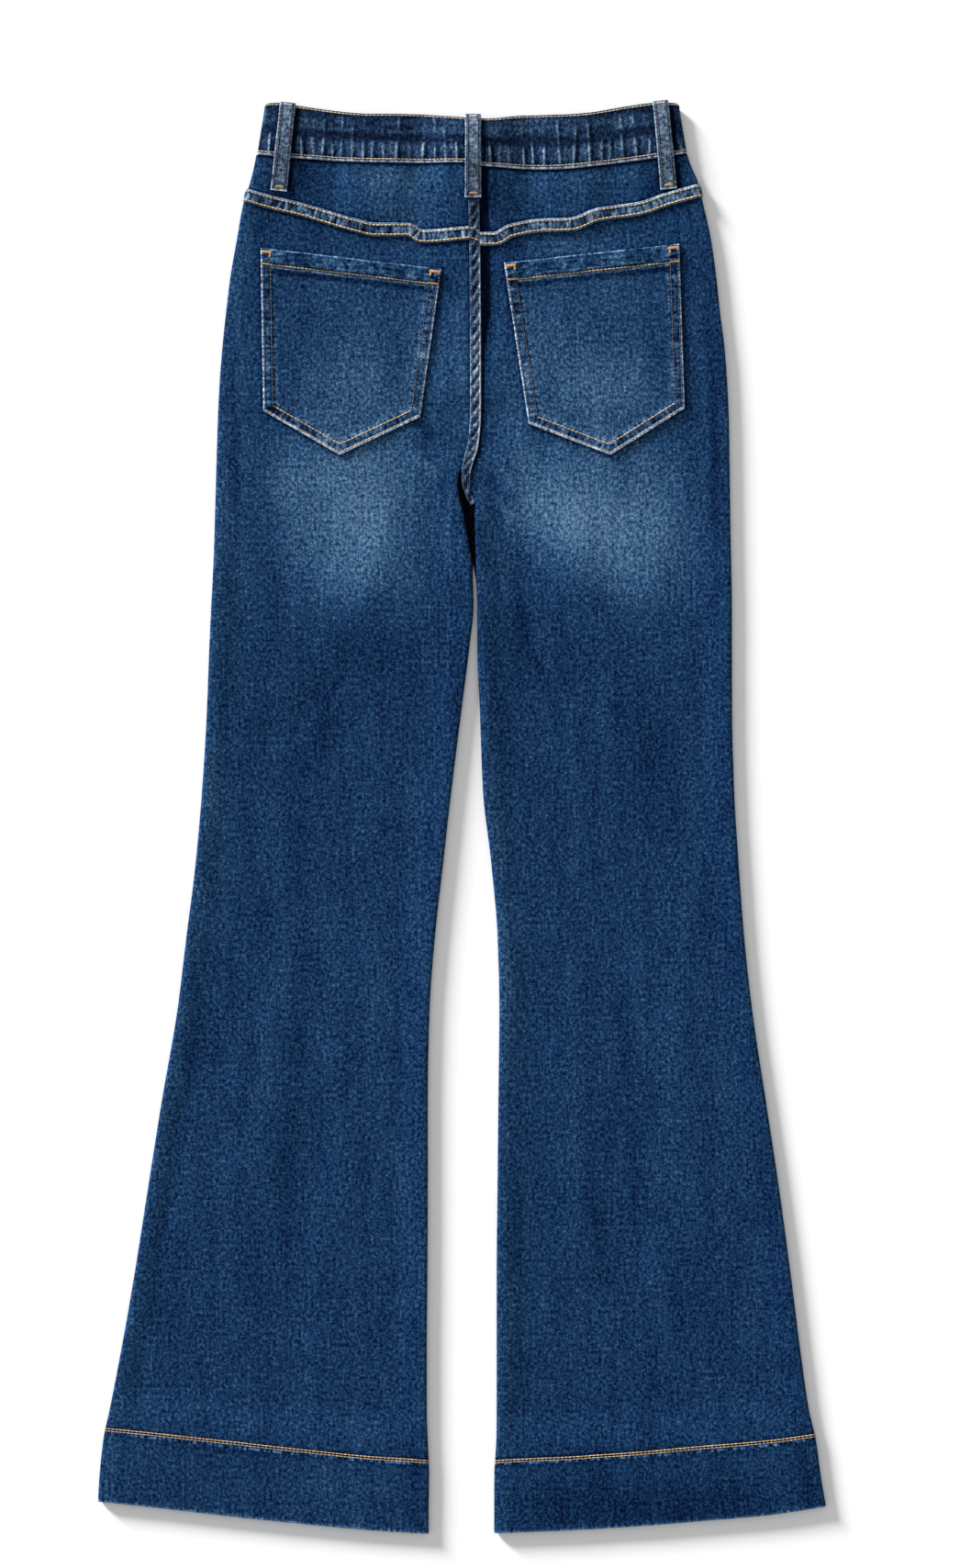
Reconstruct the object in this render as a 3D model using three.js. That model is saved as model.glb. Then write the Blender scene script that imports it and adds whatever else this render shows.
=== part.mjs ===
// Flared jeans lying flat on a table with the back side up, as cut and sewn pieces of denim.
// Millimetres. +Y runs to the waist, +Z up, and z = 0 is the table that the front lies on.
// "left" and "right" are the wearer's, which are also left and right seen from above.
import * as THREE from 'three';

// Cloth
const CLOTH = 1.3;              // one layer of denim
const DOUBLE_CLOTH = 2.6;       // the deep turned-up hem
const BAND_CLOTH = 2.4;         // the waistband, two layers pressed together
const SEAM_GAP = 0.3;           // between neighbouring pieces
const CURVE_GAP = 0.2;          // added under the waistband's curved edge

// The flattened garment
const FOLD_HEIGHT = 5.5;        // where front and back meet at the side seams and inseams
const FOLD_RADIUS = 2.9;
const FOLD_REACH = 13;          // how far in the thick folded edge settles down
const AIR = 0.6;                // slack between the layers
const SEAT_FULLNESS = 1.5;      // extra slack over the seat
const CENTRE_FRONT_X = 9;
const HEM_DEPTH = 58;

// Small parts
const LOOP_WIDTH = 13.5;
const LOOP_CLOTH = 1.6;
const LOOP_ARCH = 1.4;
const FRONT_LOOP_OFFSET = 80;
const POCKET_CLOTH = 1.4;
const POCKET_HEM_CLOTH = 2.6;
const POCKET_GAPE = 1.1;        // how far the middle of the mouth stands off
const SEAM_RIDGE = 1.2;         // height of a felled seam over the cloth beside it
const BUTTON_RADIUS = 8.5;
const BUTTON_HEIGHT = 1.9;
const FLY_LENGTH = 160;
const FLY_LAP = 5;              // the left front past the centre line
const FLY_TUCK = 8;             // the right front behind it
const BAND_LAP = 16;            // the waistband's left end past the centre line
const BAND_TUCK = 12;

// Rows of numbers as objects with named columns.
function table(columns, rows) {
  return rows.map((row) => Object.fromEntries(columns.map((column, i) => [column, row[i]])));
}

// Outline of the legs and hips: x at the side seams and at the inner edge of each leg, by height.
const OUTLINE = table(['y', 'leftSide', 'leftInner', 'rightInner', 'rightSide'], [
  [-560, -296, -27.2, 26, 295.7],
  [-535, -294.6, -26.8, 26, 291.5],
  [-503, -291.2, -28, 27.8, 287],
  [-480, -286.3, -28.7, 28, 281.6],
  [-430, -276.6, -28.7, 28, 274.4],
  [-370, -266.1, -28.2, 28, 266.8],
  [-300, -255.1, -27.9, 28.7, 257.3],
  [-230, -244, -27.9, 29.4, 246.7],
  [-156, -231.3, -26.4, 30.2, 235.6],
  [-96, -223.9, -22, 28.7, 229],
  [-36, -216.4, -15.3, 23.5, 224.5],
  [23, -211.2, -8.6, 16.8, 220.9],
  [83, -207.5, -1.1, 14.5, 219.3],
  [142, -205.2, 6.3, 12.3, 219.1],
  [172, -203.8, 9.3, 12.3, 219.1],
  [202, -202.2, 8.3, 11.2, 218.6],
  [230, -201.2, 4.2, 10.6, 218],
  [250, -200.6, 0.4, 10.3, 217.7],
  [321, -198.5, null, null, 216.7],
  [351, -197.1, null, null, 215.4],
  [381, -194.8, null, null, 213.2],
  [410, -191.8, null, null, 209.5],
  [440, -188.1, null, null, 206.3],
  [470, -182.9, null, null, 202],
  [498, -177.9, null, null, 195.9],
  [515, -172.5, null, null, 191.9],
  [530, -168.7, null, null, 185.7],
  [538, -167.2, null, null, 183],
  [560, -161.7, null, null, 177.5],
  [578, -159.3, null, null, 175.6],
]);

// The seat seam between the two back panels, and the leg edges that it ends between.
const SEAT_SEAM = [[274.9, 3.25], [282.4, 3.25], [291.3, 6.15], [300, 9.25], [330, 10.35], [490, 10.35],
  [540, 8.85]];
const LEFT_CROTCH_EDGE = [[250, 0.4], [262, -2.4], [275, -3.4], [280, -2.4], [284, 2], [288, 4.6]];
const RIGHT_CROTCH_EDGE = [[250, 10.3], [255.5, 10.1], [266, 7.8], [274.9, 3.4]];
const LEFT_SEAM_FROM_Y = 288;
const RIGHT_SEAM_FROM_Y = 274.9;
const BACK_FOLD_ENDS = { left: [274, 290], right: [256, 274] };
const FRONT_CROTCH_Y = 208;

// Lines across the garment, as x and y.
const BAND_LOWER = [[-170, 538.7], [-120, 534.4], [-77, 531.9], [-2, 531.2], [20, 528.2], [71, 526],
  [130, 531.9], [184, 539.6]];
const BAND_UPPER = [[-160, 579.8], [-151, 580.3], [-137, 578.5], [-107, 574.2], [-77, 571.2], [-40, 571.1],
  [-12, 569], [20, 566.9], [50, 569.9], [80, 570.5], [102, 572], [120, 575.1], [131, 577.1], [161, 580.6],
  [178, 579.9]];
const BAND_ENDS = { lowLeft: -166.5, lowRight: 182.5, highLeft: -160, highRight: 176, middle: 8 };
const FRONT_BAND_HEIGHT = 38.5;
const FRONT_DROP = 21;          // how much lower the waist lies at the centre front
const YOKE_SEAM = {
  left: [[-180, 506.6], [-160, 500.7], [-128, 492.8], [-86, 480.5], [-70, 477.3], [-44, 477.3],
    [-32, 471.8], [10, 475]],
  right: [[10, 469.6], [27, 469.8], [40, 476.4], [64, 480.6], [88, 481.4], [111, 489.5], [145, 494.7],
    [167, 502.1], [196, 510]],
};
const HEM_EDGE = {
  left: [[-297, -554.7], [-256, -558.9], [-196, -565.9], [-137, -572.2], [-77, -577.8], [-27, -581.1]],
  right: [[25, -580.6], [72, -578.8], [131, -575.6], [191, -570.9], [251, -565.5], [297, -558.5]],
};

// Soft folds of the back: a ridge, or a trough where the height is below 0, along a line.
const BACK_FOLDS = table(['fromX', 'fromY', 'toX', 'toY', 'halfWidth', 'height'], [
  [-85, 145, -200, -40, 20, -0.5],
  [-110, 160, -205, 40, 24, 0.6],
  [40, 150, 110, -10, 22, -0.45],
  [75, 190, 150, 20, 24, 0.6],
  [-60, 240, -90, 120, 26, 0.7],
  [105, 260, 70, 90, 26, 0.6],
  [-150, -80, -185, -460, 24, 0.7],
  [-75, 0, -95, -420, 20, 0.5],
  [-120, -120, -140, -500, 18, -0.45],
  [75, -60, 90, -480, 22, 0.7],
  [165, 20, 190, -430, 24, 0.6],
  [130, -150, 140, -500, 18, -0.45],
  [-55, 300, -15, 325, 14, 0.5],
  [24, 490, 21, 350, 8, -1.1],
  [19, 520, 24, 480, 9, -0.8],
]);

// Small parts by place.
const BACK_POCKETS = {
  left: { topLeft: [-163.5, 462.3], topRight: [-16.8, 445.1], lowerRight: [-33.9, 325.2], tip: [-99.5, 294.3],
    lowerLeft: [-161.3, 330], tipShare: 0.485 },
  right: { topLeft: [33.9, 450], topRight: [176.2, 465.6], lowerRight: [180.7, 332.3], tip: [120.3, 294.3],
    lowerLeft: [54, 319.6], tipShare: 0.52 },
};
const BACK_LOOPS = {
  left: { top: [-141.2, 580.4], foot: [-148.8, 508.8] },
  centre: { top: [8.9, 570.2], foot: [8.9, 503] },
  right: { top: [160.9, 581.9], foot: [167.6, 510.3] },
};
const SEAT_RIDGE_PATH = [[9.4, 501.6], [10.2, 470], [10.5, 440], [10.8, 400], [10.9, 360], [10.8, 327],
  [8.7, 302.5], [5.2, 290.5], [3.2, 281], [2.9, 273.5], [4, 266.5], [6.4, 260.2], [9.2, 255]];
const SEAT_RIDGE_WIDTH = 8.8;
const SEAT_RIDGE_TAIL_WIDTH = 5.2;
const SEAT_RIDGE_FOOT = 3.4;    // height of the ridge's foot over the table
const YOKE_RIDGE_WIDTH = 11;
const YOKE_RIDGE_TURN = Math.PI * 0.45;  // how far its outer end goes round the side fold
const LOOP_NARROWING = 0.1;     // a belt loop's width, lost towards its top

// Parts of the front by their distance from the waistband's lower edge there.
const FRONT_LOOP_ABOVE = 41.5;
const FRONT_LOOP_BELOW = 22;
const BUTTON_ABOVE = 19;

// Where the layers leave room: full within `flat`, and gone `fall` further out.
const BUTTON_ROOM = { flat: BUTTON_RADIUS + 4, fall: 34 };
const LOOP_ROOM = { flatX: 12.5, fallX: 22, flatY: 8, fallY: 26 };
const LAP_ROOM = { centreX: CENTRE_FRONT_X + 2, flat: 14, fall: 34 };
const FLY_RISE = { toX: CENTRE_FRONT_X + FLY_LAP + 5, fall: 9, foot: 20 };
const BAND_TUCK_RISE = { toX: CENTRE_FRONT_X + BAND_LAP + 1.5, fall: 18 };

// Heights along the garment between which the shape changes over.
const SEAT = { fromY: 200, toY: 310 };
const YOKE_EASING = { fromY: 440, toY: 510, amount: 0.35 };
const BAND_LAP_FROM = { fromY: 470, toY: 525 };
const HEM_EASING = { clear: 4, over: 34 };
const FRONT_CROTCH_EASING = { below: 18, foldBelow: 26, foldOver: 22 };
const FLY_FOOT_EASING = 12;
const FOLD_END_SHARE = 0.35;    // the part of a soft fold's length over which each end fades out

const DENIM = { color: 0x1b385c, roughness: 0.9, metalness: 0 };
const DARK_DENIM = { color: 0x142c48, roughness: 0.9, metalness: 0 };
const POCKET_DENIM = { color: 0x2b4e75, roughness: 0.9, metalness: 0 };
const WORN_DENIM = { color: 0x3d5c7d, roughness: 0.9, metalness: 0 };
const BUTTON_METAL = { color: 0x8f8468, roughness: 0.45, metalness: 1 };

const garment = new THREE.Group();

function addPiece(name, geometry, finish) {
  const mesh = new THREE.Mesh(geometry, new THREE.MeshStandardMaterial(finish));
  mesh.name = name;
  garment.add(mesh);
}

// Interpolation

const clamp01 = (t) => Math.min(1, Math.max(0, t));
const mix = (a, b, t) => a + (b - a) * t;
const ease = (t) => clamp01(t) ** 2 * (3 - 2 * clamp01(t));
const bell = (distance, width) => Math.exp(-((distance / width) ** 2));
// 0 below `fromY`, 1 above `toY`, eased between them.
const share = (y, { fromY, toY }) => ease((y - fromY) / (toY - fromY));
// 1 out to `flat`, then eased down to 0 over `fall`.
const plateau = (distance, flat, fall) => 1 - ease((Math.abs(distance) - flat) / fall);

// A smooth line through points that keeps between its neighbouring values.
function smoothLine(points) {
  const slopes = points.slice(1).map(([t, v], i) => (v - points[i][1]) / (t - points[i][0]));
  const tangents = points.map((_, i) => {
    const before = slopes[i - 1] ?? slopes[i];
    const after = slopes[i] ?? slopes[i - 1];
    return before * after <= 0 ? 0 : (2 * before * after) / (before + after);
  });
  return (t) => {
    let i = 0;
    while (i < points.length - 2 && t > points[i + 1][0]) i += 1;
    const [t0, v0] = points[i];
    const [t1, v1] = points[i + 1];
    const step = t1 - t0;
    const s = clamp01((t - t0) / step);
    return v0 * (1 + 2 * s) * (1 - s) ** 2 + v1 * s * s * (3 - 2 * s)
      + step * (tangents[i] * s * (1 - s) ** 2 - tangents[i + 1] * s * s * (1 - s));
  };
}

const outlineColumn = (name) => OUTLINE.filter((row) => row[name] !== null).map((row) => [row.y, row[name]]);

const seatSeam = smoothLine(SEAT_SEAM);
const bandLower = smoothLine(BAND_LOWER);
const bandUpper = smoothLine(BAND_UPPER);

// The waist lies lower at the front, most at its middle, and its lower edge there is nearly straight.
const FRONT_STRAIGHTNESS = 0.8;
function frontDrop(x) {
  const half = (BAND_ENDS.lowRight - BAND_ENDS.lowLeft) / 2;
  const middle = (BAND_ENDS.lowRight + BAND_ENDS.lowLeft) / 2;
  return FRONT_DROP * (1 - ease(Math.abs(x - middle) / half));
}
const frontBandLower = (x) => (
  mix(bandLower(x), bandLower(BAND_ENDS.lowLeft), FRONT_STRAIGHTNESS) - frontDrop(x));

// The two halves. `inward` is the x direction from the side seam to the middle.
function makeHalf(name, inward) {
  const side = smoothLine(outlineColumn(`${name}Side`));
  const leg = outlineColumn(`${name}Inner`);
  const legInner = smoothLine(leg);
  const crotchEdge = name === 'left' ? LEFT_CROTCH_EDGE : RIGHT_CROTCH_EDGE;
  const seamFrom = name === 'left' ? LEFT_SEAM_FROM_Y : RIGHT_SEAM_FROM_Y;
  const crotch = smoothLine(crotchEdge);
  const backInner = (y) => {
    if (y >= seamFrom) return seatSeam(y) - inward * SEAM_GAP / 2;
    return y > crotchEdge[0][0] ? crotch(y) : legInner(y);
  };
  const [foldEnd, seamStart] = BACK_FOLD_ENDS[name];
  return {
    name,
    inward,
    side,
    backInner,
    legInner,
    // 1 where the inner edge is folded to the floor, 0 where it is sewn to the other half.
    backFold: (y) => 1 - ease((y - foldEnd) / (seamStart - foldEnd)),
    frontFold: (y) => 1 - ease((y - FRONT_CROTCH_Y + FRONT_CROTCH_EASING.foldBelow)
      / FRONT_CROTCH_EASING.foldOver),
    hemEdge: smoothLine(HEM_EDGE[name]),
    yokeSeam: smoothLine(YOKE_SEAM[name]),
  };
}
const HALVES = { left: makeHalf('left', 1), right: makeHalf('right', -1) };

// Heights

const FRONT_LOOPS = [CENTRE_FRONT_X - FRONT_LOOP_OFFSET, CENTRE_FRONT_X + FRONT_LOOP_OFFSET].map((x) => ({
  x,
  top: frontBandLower(x) + FRONT_LOOP_ABOVE,
  foot: frontBandLower(x) - FRONT_LOOP_BELOW,
}));
const BUTTON_Y = frontBandLower(CENTRE_FRONT_X) + BUTTON_ABOVE;

// How far the front is held off the table by the button and the front belt loops.
function lift(x, y) {
  const button = Math.hypot(x - CENTRE_FRONT_X, y - BUTTON_Y);
  let height = (BUTTON_HEIGHT + SEAM_GAP) * plateau(button, BUTTON_ROOM.flat, BUTTON_ROOM.fall);
  for (const loop of FRONT_LOOPS) {
    const middle = (loop.top + loop.foot) / 2;
    const half = (loop.top - loop.foot) / 2;
    height += (LOOP_CLOTH + SEAM_GAP) * plateau(x - loop.x, LOOP_ROOM.flatX, LOOP_ROOM.fallX)
      * plateau(y - middle, half + LOOP_ROOM.flatY, LOOP_ROOM.fallY);
  }
  return height;
}

const flyFootY = frontBandLower(CENTRE_FRONT_X) - FLY_LENGTH;
const flyShare = (y) => ease((y - flyFootY + FLY_RISE.foot) / FLY_RISE.foot);
const FLY_LAYER = CLOTH + SEAM_GAP;
const BAND_LAYER = BAND_CLOTH + SEAM_GAP;

// The extra layer where the right front is tucked behind the left one.
function flyRise(x, y) {
  return FLY_LAYER * flyShare(y) * (1 - ease((x - FLY_RISE.toX) / FLY_RISE.fall));
}

// Room that the back layers leave for that extra layer.
function lapRoom(x, y) {
  const band = share(y, BAND_LAP_FROM);
  const layer = mix(FLY_LAYER * flyShare(y + FLY_TUCK), BAND_LAYER, band);
  return layer * plateau(x - LAP_ROOM.centreX, LAP_ROOM.flat, LAP_ROOM.fall);
}

function foldShape({ fromX, fromY, toX, toY, halfWidth, height }, x, y) {
  const alongX = toX - fromX;
  const alongY = toY - fromY;
  const length = Math.hypot(alongX, alongY);
  const along = ((x - fromX) * alongX + (y - fromY) * alongY) / length ** 2;
  const across = Math.abs((x - fromX) * alongY - (y - fromY) * alongX) / length;
  return height * bell(across, halfWidth) * ease(along / FOLD_END_SHARE) * ease((1 - along) / FOLD_END_SHARE);
}

// Height of the back's upper face over the table, past the rounded fold at the edges.
function backHeight(half, x, y) {
  const legs = 2 * CLOTH + SEAM_GAP + AIR;
  const hem = 2 * DOUBLE_CLOTH + SEAM_GAP;
  const hemShare = 1 - ease((y - half.hemEdge(x) - HEM_DEPTH - HEM_EASING.clear) / HEM_EASING.over);
  const seat = SEAT_FULLNESS * share(y, SEAT) * (1 - YOKE_EASING.amount * share(y, YOKE_EASING));
  const rest = mix(legs + seat, hem, hemShare);
  const sideRoll = bell(Math.max(0, half.inward * (x - half.side(y)) - FOLD_RADIUS), FOLD_REACH);
  const innerDistance = half.inward * (half.backInner(y) - x) - FOLD_RADIUS;
  const innerRoll = half.backFold(y) * bell(Math.max(0, innerDistance), FOLD_REACH);
  const roll = Math.min(1, sideRoll + innerRoll);
  const folds = BACK_FOLDS.reduce((sum, fold) => sum + foldShape(fold, x, y), 0);
  return mix(rest + folds * (1 - hemShare), FOLD_HEIGHT, roll) + lift(x, y) + lapRoom(x, y);
}

// Meshes

// A closed wall between an outer and an inner grid of points of the same size.
// `flip` is true where rows and columns turn the other way round.
function wall(outer, inner, flip = false) {
  const rows = outer.length;
  const columns = outer[0].length;
  const positions = [...outer, ...inner].flat().flat();
  const at = (layer, row, column) => (layer * rows + row) * columns + column;
  const index = [];
  const quad = (a, b, c, d) => (flip ? index.push(a, c, b, a, d, c) : index.push(a, b, c, a, c, d));
  for (let i = 0; i < rows - 1; i += 1) {
    for (let j = 0; j < columns - 1; j += 1) {
      quad(at(0, i, j), at(0, i, j + 1), at(0, i + 1, j + 1), at(0, i + 1, j));
      quad(at(1, i, j), at(1, i + 1, j), at(1, i + 1, j + 1), at(1, i, j + 1));
    }
    quad(at(0, i, 0), at(0, i + 1, 0), at(1, i + 1, 0), at(1, i, 0));
    quad(at(0, i, columns - 1), at(1, i, columns - 1), at(1, i + 1, columns - 1), at(0, i + 1, columns - 1));
  }
  for (let j = 0; j < columns - 1; j += 1) {
    quad(at(0, 0, j), at(1, 0, j), at(1, 0, j + 1), at(0, 0, j + 1));
    quad(at(0, rows - 1, j), at(0, rows - 1, j + 1), at(1, rows - 1, j + 1), at(1, rows - 1, j));
  }
  const geometry = new THREE.BufferGeometry();
  geometry.setAttribute('position', new THREE.Float32BufferAttribute(positions, 3));
  geometry.setIndex(index);
  geometry.computeVertexNormals();
  return geometry;
}

// Upper faces that later pieces rest on.
const upperFaces = [];

function heightInTriangle(a, b, c, x, y) {
  const area = (b[0] - a[0]) * (c[1] - a[1]) - (c[0] - a[0]) * (b[1] - a[1]);
  if (Math.abs(area) < 1e-9) return null;
  const u = ((x - a[0]) * (c[1] - a[1]) - (c[0] - a[0]) * (y - a[1])) / area;
  const v = ((b[0] - a[0]) * (y - a[1]) - (x - a[0]) * (b[1] - a[1])) / area;
  if (u < -1e-6 || v < -1e-6 || u + v > 1 + 1e-6) return null;
  return a[2] + u * (b[2] - a[2]) + v * (c[2] - a[2]);
}

// Height of the pieces below a point, or null where there is none.
function heightUnder(x, y) {
  let best = null;
  for (const grid of upperFaces) {
    for (let i = 0; i < grid.length - 1; i += 1) {
      for (let j = 0; j < grid[i].length - 1; j += 1) {
        const [a, b, c, d] = [grid[i][j], grid[i][j + 1], grid[i + 1][j + 1], grid[i + 1][j]];
        for (const height of [heightInTriangle(a, b, c, x, y), heightInTriangle(a, c, d, x, y)]) {
          if (height !== null && (best === null || height > best)) best = height;
        }
      }
    }
  }
  return best;
}

// Lowest height that is clear of the pieces below within `reach` of a point.
function clearHeight(x, y, reach, otherwise = 0) {
  const heights = [heightUnder(x, y)];
  for (let k = 0; k < 8; k += 1) {
    const angle = (k * Math.PI) / 4;
    heights.push(heightUnder(x + reach * Math.cos(angle), y + reach * Math.sin(angle)));
  }
  const found = heights.filter((height) => height !== null);
  return (found.length ? Math.max(...found) : otherwise) + SEAM_GAP;
}

// Panels

// Where the columns of a panel lie: round the folded edge, near it, and across the middle.
const arcColumns = (count) => Array.from({ length: count }, (_, k) => ({ arc: (k * Math.PI) / 2 / count }));
const BACK_COLUMNS = [
  ...arcColumns(4),
  { fromSide: FOLD_RADIUS }, { fromSide: 9 }, { fromSide: 15.5 }, { fromSide: 25 },
  { share: 0.2 }, { share: 0.35 }, { share: 0.5 }, { share: 0.65 }, { share: 0.8 },
  { fromInner: 22 }, { fromInner: 14.5 }, { fromInner: 8 }, { fromInner: FOLD_RADIUS },
  ...arcColumns(3).reverse().map(({ arc }) => ({ arc, inner: true })),
];
const FRONT_COLUMNS = [
  ...arcColumns(3),
  { fromSide: FOLD_RADIUS },
  { share: 0.12 }, { share: 0.32 }, { share: 0.455 }, { share: 0.62 }, { share: 0.8 },
  { fromInner: 22 }, { fromInner: 13.5 }, { fromInner: FOLD_RADIUS },
  ...arcColumns(2).reverse().map(({ arc }) => ({ arc, inner: true })),
];

// Points of one panel row. `height` gives the face away from the folds, `rim` the height that the
// folded edge comes round to, `fold` how much the inner edge is folded.
function panelRow({ columns, inward, sideX, innerX, rowY, height, rim, fold, facing, thickness }) {
  const points = columns.map((column) => {
    const nearInner = column.inner || column.fromInner !== undefined;
    let inset = column.fromSide ?? column.fromInner;
    if (column.arc !== undefined) inset = FOLD_RADIUS * (1 - Math.cos(column.arc));
    const width = inward * (innerX - sideX);
    const inside = column.share !== undefined ? column.share * width : inset;
    const x = nearInner ? innerX - inward * inside : sideX + inward * inside;
    const y = rowY(x);
    if (column.arc === undefined) return { x, y, z: height(x, y) };
    const edgeX = column.inner ? innerX - inward * FOLD_RADIUS : sideX + inward * FOLD_RADIUS;
    const flat = height(edgeX, rowY(edgeX));
    const amount = column.inner ? fold : 1;
    const z = flat + (rim - flat) * (1 - Math.sin(column.arc)) * amount;
    const outX = (column.inner ? inward : -inward) * Math.cos(column.arc) * amount;
    const outZ = facing * mix(1, Math.sin(column.arc), amount);
    const size = Math.hypot(outX, outZ);
    return { x, y, z, outX: outX / size, outZ: outZ / size };
  });
  const outer = points.map(({ x, y, z }) => [x, y, z]);
  const inner = points.map((point, j) => {
    let { outX, outZ } = point;
    if (outX === undefined) {
      const before = points[Math.max(0, j - 1)];
      const after = points[Math.min(points.length - 1, j + 1)];
      const size = Math.hypot(after.x - before.x, after.z - before.z);
      const turn = Math.sign(after.x - before.x) * facing;
      outX = -(turn * (after.z - before.z)) / size;
      outZ = (turn * (after.x - before.x)) / size;
    }
    return [point.x - thickness * outX, point.y, point.z - thickness * outZ];
  });
  return { outer, inner };
}

// Rows of a panel by height at the middle of the leg: closer at the hem and round the crotch.
const LEG_ROWS = { fromY: -460, toY: 170, step: 56 };
const CROTCH_ROWS = { fromY: 182, toY: 300, step: 11 };
const SEAT_ROWS = { fromY: 322, toY: 460, step: 32 };
const FRONT_ROWS = [184, 198, 212, 230, 265, 305, 338, 352, 366, 380, 420, 458, 478, 494, 508];

function rowsBetween({ fromY, toY, step }) {
  return Array.from({ length: Math.ceil((toY - fromY) / step) }, (_, i) => fromY + i * step);
}

function legLevels(hemY) {
  const stepY = hemY + HEM_DEPTH;
  return [hemY, stepY - 1, stepY + 1.5, stepY + 20, ...rowsBetween(LEG_ROWS)];
}

function panel({
  name, half, levels, lower, upper, inner, fold, height, rim, facing, columns, thickness, finish,
}) {
  const middle = (half.side(400) + CENTRE_FRONT_X) / 2;
  const lowest = lower(middle);
  const highest = upper(middle);
  const rows = levels.map((level) => {
    const up = (level - lowest) / (highest - lowest);
    const rowY = (x) => mix(lower(x), upper(x), up);
    const sideX = half.side(rowY(half.side(level)));
    const innerY = rowY(inner(level));
    return panelRow({
      columns,
      inward: half.inward,
      sideX,
      innerX: inner(innerY),
      rowY,
      height,
      rim,
      fold: fold(innerY),
      facing,
      thickness: thickness(level - lowest),
    });
  });
  const outerGrid = rows.map((row) => row.outer);
  const innerGrid = rows.map((row) => row.inner);
  if (facing > 0) upperFaces.push(outerGrid);
  addPiece(name, wall(outerGrid, innerGrid, half.inward * facing < 0), finish);
}

const legThickness = (aboveHem) => (aboveHem < HEM_DEPTH ? DOUBLE_CLOTH : CLOTH);
const RIM = { back: (FOLD_HEIGHT + SEAM_GAP) / 2, front: (FOLD_HEIGHT - SEAM_GAP) / 2 };

function backPanel(half) {
  const middle = (half.side(400) + CENTRE_FRONT_X) / 2;
  panel({
    name: `back_${half.name}`,
    half,
    levels: [...legLevels(half.hemEdge(middle)), ...rowsBetween(CROTCH_ROWS), ...rowsBetween(SEAT_ROWS),
      half.yokeSeam(middle) - SEAM_GAP / 2],
    lower: half.hemEdge,
    upper: (x) => half.yokeSeam(x) - SEAM_GAP / 2,
    inner: half.backInner,
    fold: half.backFold,
    height: (x, y) => backHeight(half, x, y),
    rim: RIM.back,
    facing: 1,
    columns: BACK_COLUMNS,
    thickness: legThickness,
    finish: DENIM,
  });
}

function yoke(half) {
  const lower = (x) => half.yokeSeam(x) + SEAM_GAP / 2;
  const upper = (x) => bandLower(x) - SEAM_GAP - CURVE_GAP;
  const middle = (half.side(400) + CENTRE_FRONT_X) / 2;
  const rows = 4;
  panel({
    name: `yoke_${half.name}`,
    half,
    levels: Array.from({ length: rows + 1 }, (_, i) => mix(lower(middle), upper(middle), i / rows)),
    lower,
    upper,
    inner: half.backInner,
    fold: half.backFold,
    height: (x, y) => backHeight(half, x, y),
    rim: RIM.back,
    facing: 1,
    columns: BACK_COLUMNS,
    thickness: () => CLOTH,
    finish: DENIM,
  });
}

// The left front runs past the centre line and covers the right one along the fly.
function frontInner(half) {
  return (y) => {
    const seam = CENTRE_FRONT_X - half.inward * SEAM_GAP / 2;
    const lapped = half.name === 'left' ? CENTRE_FRONT_X + FLY_LAP : CENTRE_FRONT_X - FLY_TUCK;
    const joined = mix(seam, lapped, ease((y - flyFootY) / FLY_FOOT_EASING));
    const { below } = FRONT_CROTCH_EASING;
    return mix(half.legInner(y), joined, ease((y - FRONT_CROTCH_Y + below) / below));
  };
}

function frontPanel(half) {
  const middle = (half.side(400) + CENTRE_FRONT_X) / 2;
  const upper = (x) => frontBandLower(x) - SEAM_GAP - CURVE_GAP;
  const rise = half.name === 'right' ? flyRise : () => 0;
  panel({
    name: `front_${half.name}`,
    half,
    levels: [...legLevels(half.hemEdge(middle)), ...FRONT_ROWS, upper(middle)],
    lower: half.hemEdge,
    upper,
    inner: frontInner(half),
    fold: half.frontFold,
    height: (x, y) => lift(x, y) + rise(x, y),
    rim: RIM.front,
    facing: -1,
    columns: FRONT_COLUMNS,
    thickness: legThickness,
    finish: DENIM,
  });
}

// Waistband: one strip from its left end at the centre front, round the left side, across the
// back, round the right side and back to the centre front, where its right end is tucked inside.
const BAND_STEPS = { front: 13, back: 24, endShare: 0.02 };
const BAND_TURNS = [-67.5, -45, -22.5, 0, 22.5, 45, 67.5];
const BAND_RADIUS = BAND_CLOTH + (SEAM_GAP + AIR) / 2;

function bandStations() {
  const span = BAND_ENDS.lowRight - BAND_ENDS.lowLeft;
  const leftEnd = (CENTRE_FRONT_X + BAND_LAP - BAND_ENDS.lowLeft) / span;
  const rightEnd = (CENTRE_FRONT_X - BAND_TUCK - BAND_ENDS.lowLeft) / span;
  const near = BAND_STEPS.endShare;
  const between = (a, b, steps) => Array.from({ length: steps + 1 }, (_, k) => mix(a, b, k / steps));
  return [
    ...between(leftEnd, near, BAND_STEPS.front).map((along) => ({ front: true, along, rise: 0 })),
    ...BAND_TURNS.map((turn) => ({ side: -1, along: 0, turn })),
    ...between(near, 1 - near, BAND_STEPS.back).map((along) => ({ back: true, along })),
    ...BAND_TURNS.map((turn) => ({ side: 1, along: 1, turn: -turn })),
    ...between(1 - near, rightEnd, BAND_STEPS.front).map((along) => ({ front: true, along, rise: 1 })),
  ];
}

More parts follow.
